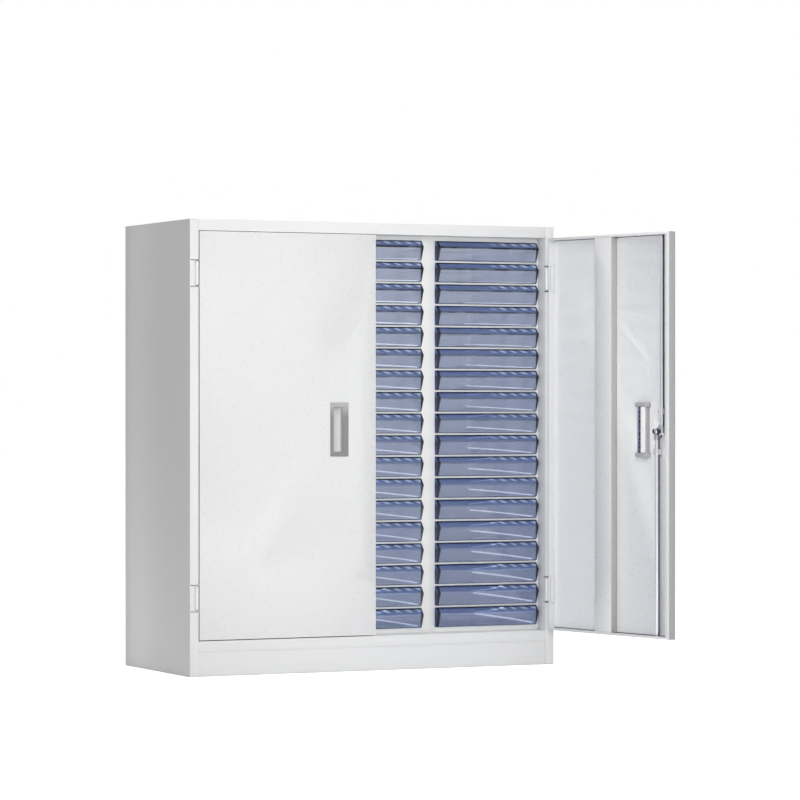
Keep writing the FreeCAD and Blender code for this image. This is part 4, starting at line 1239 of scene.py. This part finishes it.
@dataclass
class Lock:
    """Lock of the right door with its cam and the two bolt rods."""

    finishes: Finishes
    edge_radius: float = 0.3 * MM

    def build(self) -> None:
        """Build every piece of the lock."""
        zinc, dull, rod = self.finishes.zinc, self.finishes.dull_zinc, self.finishes.rod
        chrome, black = self.finishes.chrome, self.finishes.black
        pieces = (
            ("lock_barrel", "right_door", chrome, Slot.CHROME),
            ("lock_nut", "right_door", zinc, Slot.ZINC),
            ("rod_guides", "right_door", dull, Slot.ZINC),
            ("lock_plug", "lock_cam", chrome, Slot.CHROME),
            ("lock_cam_plate", "lock_cam", black, Slot.BLACK),
            ("cam_nut", "lock_cam", chrome, Slot.CHROME),
            ("upper_rod", "upper_rod", rod, Slot.ZINC),
            ("lower_rod", "lower_rod", rod, Slot.ZINC),
        )
        for node, body, finish, slot in pieces:
            piece = rounded_copy(node, self.edge_radius, finish)
            hand_over(piece, body, [node])


@dataclass(frozen=True)
class Lamp:
    """A soft rectangular lamp and what it points at."""

    name: str
    place: tuple[float, float, float]
    aim: tuple[float, float, float]
    width: float
    height: float
    watts: float

    def switch_on(self) -> None:
        """Put the lamp in the scene."""
        data = bpy.data.lights.new(self.name, "AREA")
        data.shape = "RECTANGLE"
        data.size = self.width
        data.size_y = self.height
        data.energy = self.watts
        lamp = bpy.data.objects.new(self.name, data)
        bpy.context.scene.collection.objects.link(lamp)
        lamp.location = self.place
        direction = Vector(self.aim) - Vector(self.place)
        lamp.rotation_euler = direction.to_track_quat("-Z", "Y").to_euler()
        lamp.visible_camera = False
        lamp.visible_glossy = False


@dataclass
class Studio:
    """Floor, surrounding light, lamps and camera."""

    floor_reach: float = 30.0
    floor_colour: Colour = (0.9, 0.9, 0.9)
    floor_speck: float = 0.995
    floor_speck_scale: float = 3.0
    floor_lift: float = 0.75
    low_surround: float = 0.32
    high_surround: float = 0.5
    left_share: float = 0.25
    camera_place: tuple[float, float, float] = (-3.35412, -7.36194, 0.60703)
    camera_turn: float = 25.47
    camera_lens: float = 158.73
    camera_sensor: float = 36.0
    lamps: tuple[Lamp, ...] = (
        Lamp("front_soft_light", (0.0, -3.4, 3.2), (0.1, -0.2, 0.6), 1.6, 1.6, 11.5),
        Lamp("door_fill_light", (-0.4, -1.7, 1.1), (0.45, -0.45, 0.5), 0.5, 1.4, 16.2),
        Lamp("top_soft_light", (-0.4, 0.2, 4.2), (0.0, 0.0, 0.5), 3.0, 3.0, 30.0),
    )

    def build(self) -> None:
        """Set up the whole studio."""
        self.lay_floor()
        self.light_surround()
        for lamp in self.lamps:
            lamp.switch_on()
        self.place_camera()
        bpy.context.scene.view_settings.view_transform = "Standard"

    def white_ray(self, bench: NodeBench) -> NodeSocket:
        """Return 1 for rays that see the background directly, mirrored or through plastic."""
        path = bench.add("ShaderNodeLightPath").outputs
        seen = bench.math("MAXIMUM", path["Is Camera Ray"], path["Is Transmission Ray"])
        return bench.math("MAXIMUM", seen, path["Is Glossy Ray"])

    def lay_floor(self) -> None:
        """Lay a plain pale floor that keeps the cabinet's shadow."""
        work = bmesh.new()
        reach = self.floor_reach
        corners = [(-reach, -reach, 0), (reach, -reach, 0), (reach, reach, 0), (-reach, reach, 0)]
        work.faces.new([work.verts.new(corner) for corner in corners])
        mesh = bpy.data.meshes.new("studio_floor")
        work.to_mesh(mesh)
        work.free()
        floor = new_piece("studio_floor", mesh)
        paint = bpy.data.materials.new("studio_floor_white")
        bench = NodeBench(paint)
        speck = bench.noise(bench.object_place(), self.floor_speck_scale)
        colour = bench.tint(speck, shade(self.floor_colour, self.floor_speck), self.floor_colour)
        matt = bench.add("ShaderNodeBsdfDiffuse", {"Color": colour})
        glow_lift = bench.math("MULTIPLY", self.white_ray(bench), self.floor_lift)
        glow = bench.add("ShaderNodeEmission", {"Strength": glow_lift})
        bench.surface(bench.add("ShaderNodeAddShader", {0: matt.outputs[0], 1: glow.outputs[0]}))
        mesh.materials.append(paint)

    def light_surround(self) -> None:
        """Surround the cabinet with light that is dimmer from the left, and with white to see."""
        world = bpy.data.worlds.new("studio_surround")
        bpy.context.scene.world = world
        bench = NodeBench(world)
        direction = bench.add("ShaderNodeTexCoord").outputs["Generated"]
        parts = bench.add("ShaderNodeSeparateXYZ", {"Vector": direction}).outputs
        even = bench.add("ShaderNodeMapRange", {
            "Value": parts["Z"], "To Min": self.low_surround, "To Max": self.high_surround,
        }).outputs[0]
        side = bench.add("ShaderNodeMapRange", {
            "Value": parts["X"], "From Min": -1.0, "From Max": 0.0, "To Min": self.left_share,
        }).outputs[0]
        strength = bench.add("ShaderNodeMix", {
            0: self.white_ray(bench), 2: bench.math("MULTIPLY", even, side), 3: 1.0,
        }).outputs[0]
        light = bench.add("ShaderNodeBackground", {"Color": (1, 1, 1, 1), "Strength": strength})
        output = bench.add("ShaderNodeOutputWorld")
        bench.tree.links.new(light.outputs[0], output.inputs["Surface"])

    def place_camera(self) -> None:
        """Stand the camera where the photograph was taken from."""
        data = bpy.data.cameras.new("camera")
        data.lens = self.camera_lens
        data.sensor_width = self.camera_sensor
        camera = bpy.data.objects.new("camera", data)
        bpy.context.scene.collection.objects.link(camera)
        camera.location = self.camera_place
        camera.rotation_euler = (math.radians(90), 0, math.radians(-self.camera_turn))
        bpy.context.scene.camera = camera


def main() -> None:
    """Build the studio and every piece of the cabinet."""
    logging.basicConfig(level=logging.INFO, format="%(name)s: %(message)s")
    Studio().build()
    finishes = Finishes()
    row = RowTree("row_of_pieces")
    Carcass(finishes).build()
    DrawerFrame(finishes, row).build()
    Drawers(finishes, row).build()
    Doors(finishes).build()
    Pulls(finishes).build()
    Hinges(finishes).build()
    Lock(finishes).build()


if __name__ == "__main__":
    main()
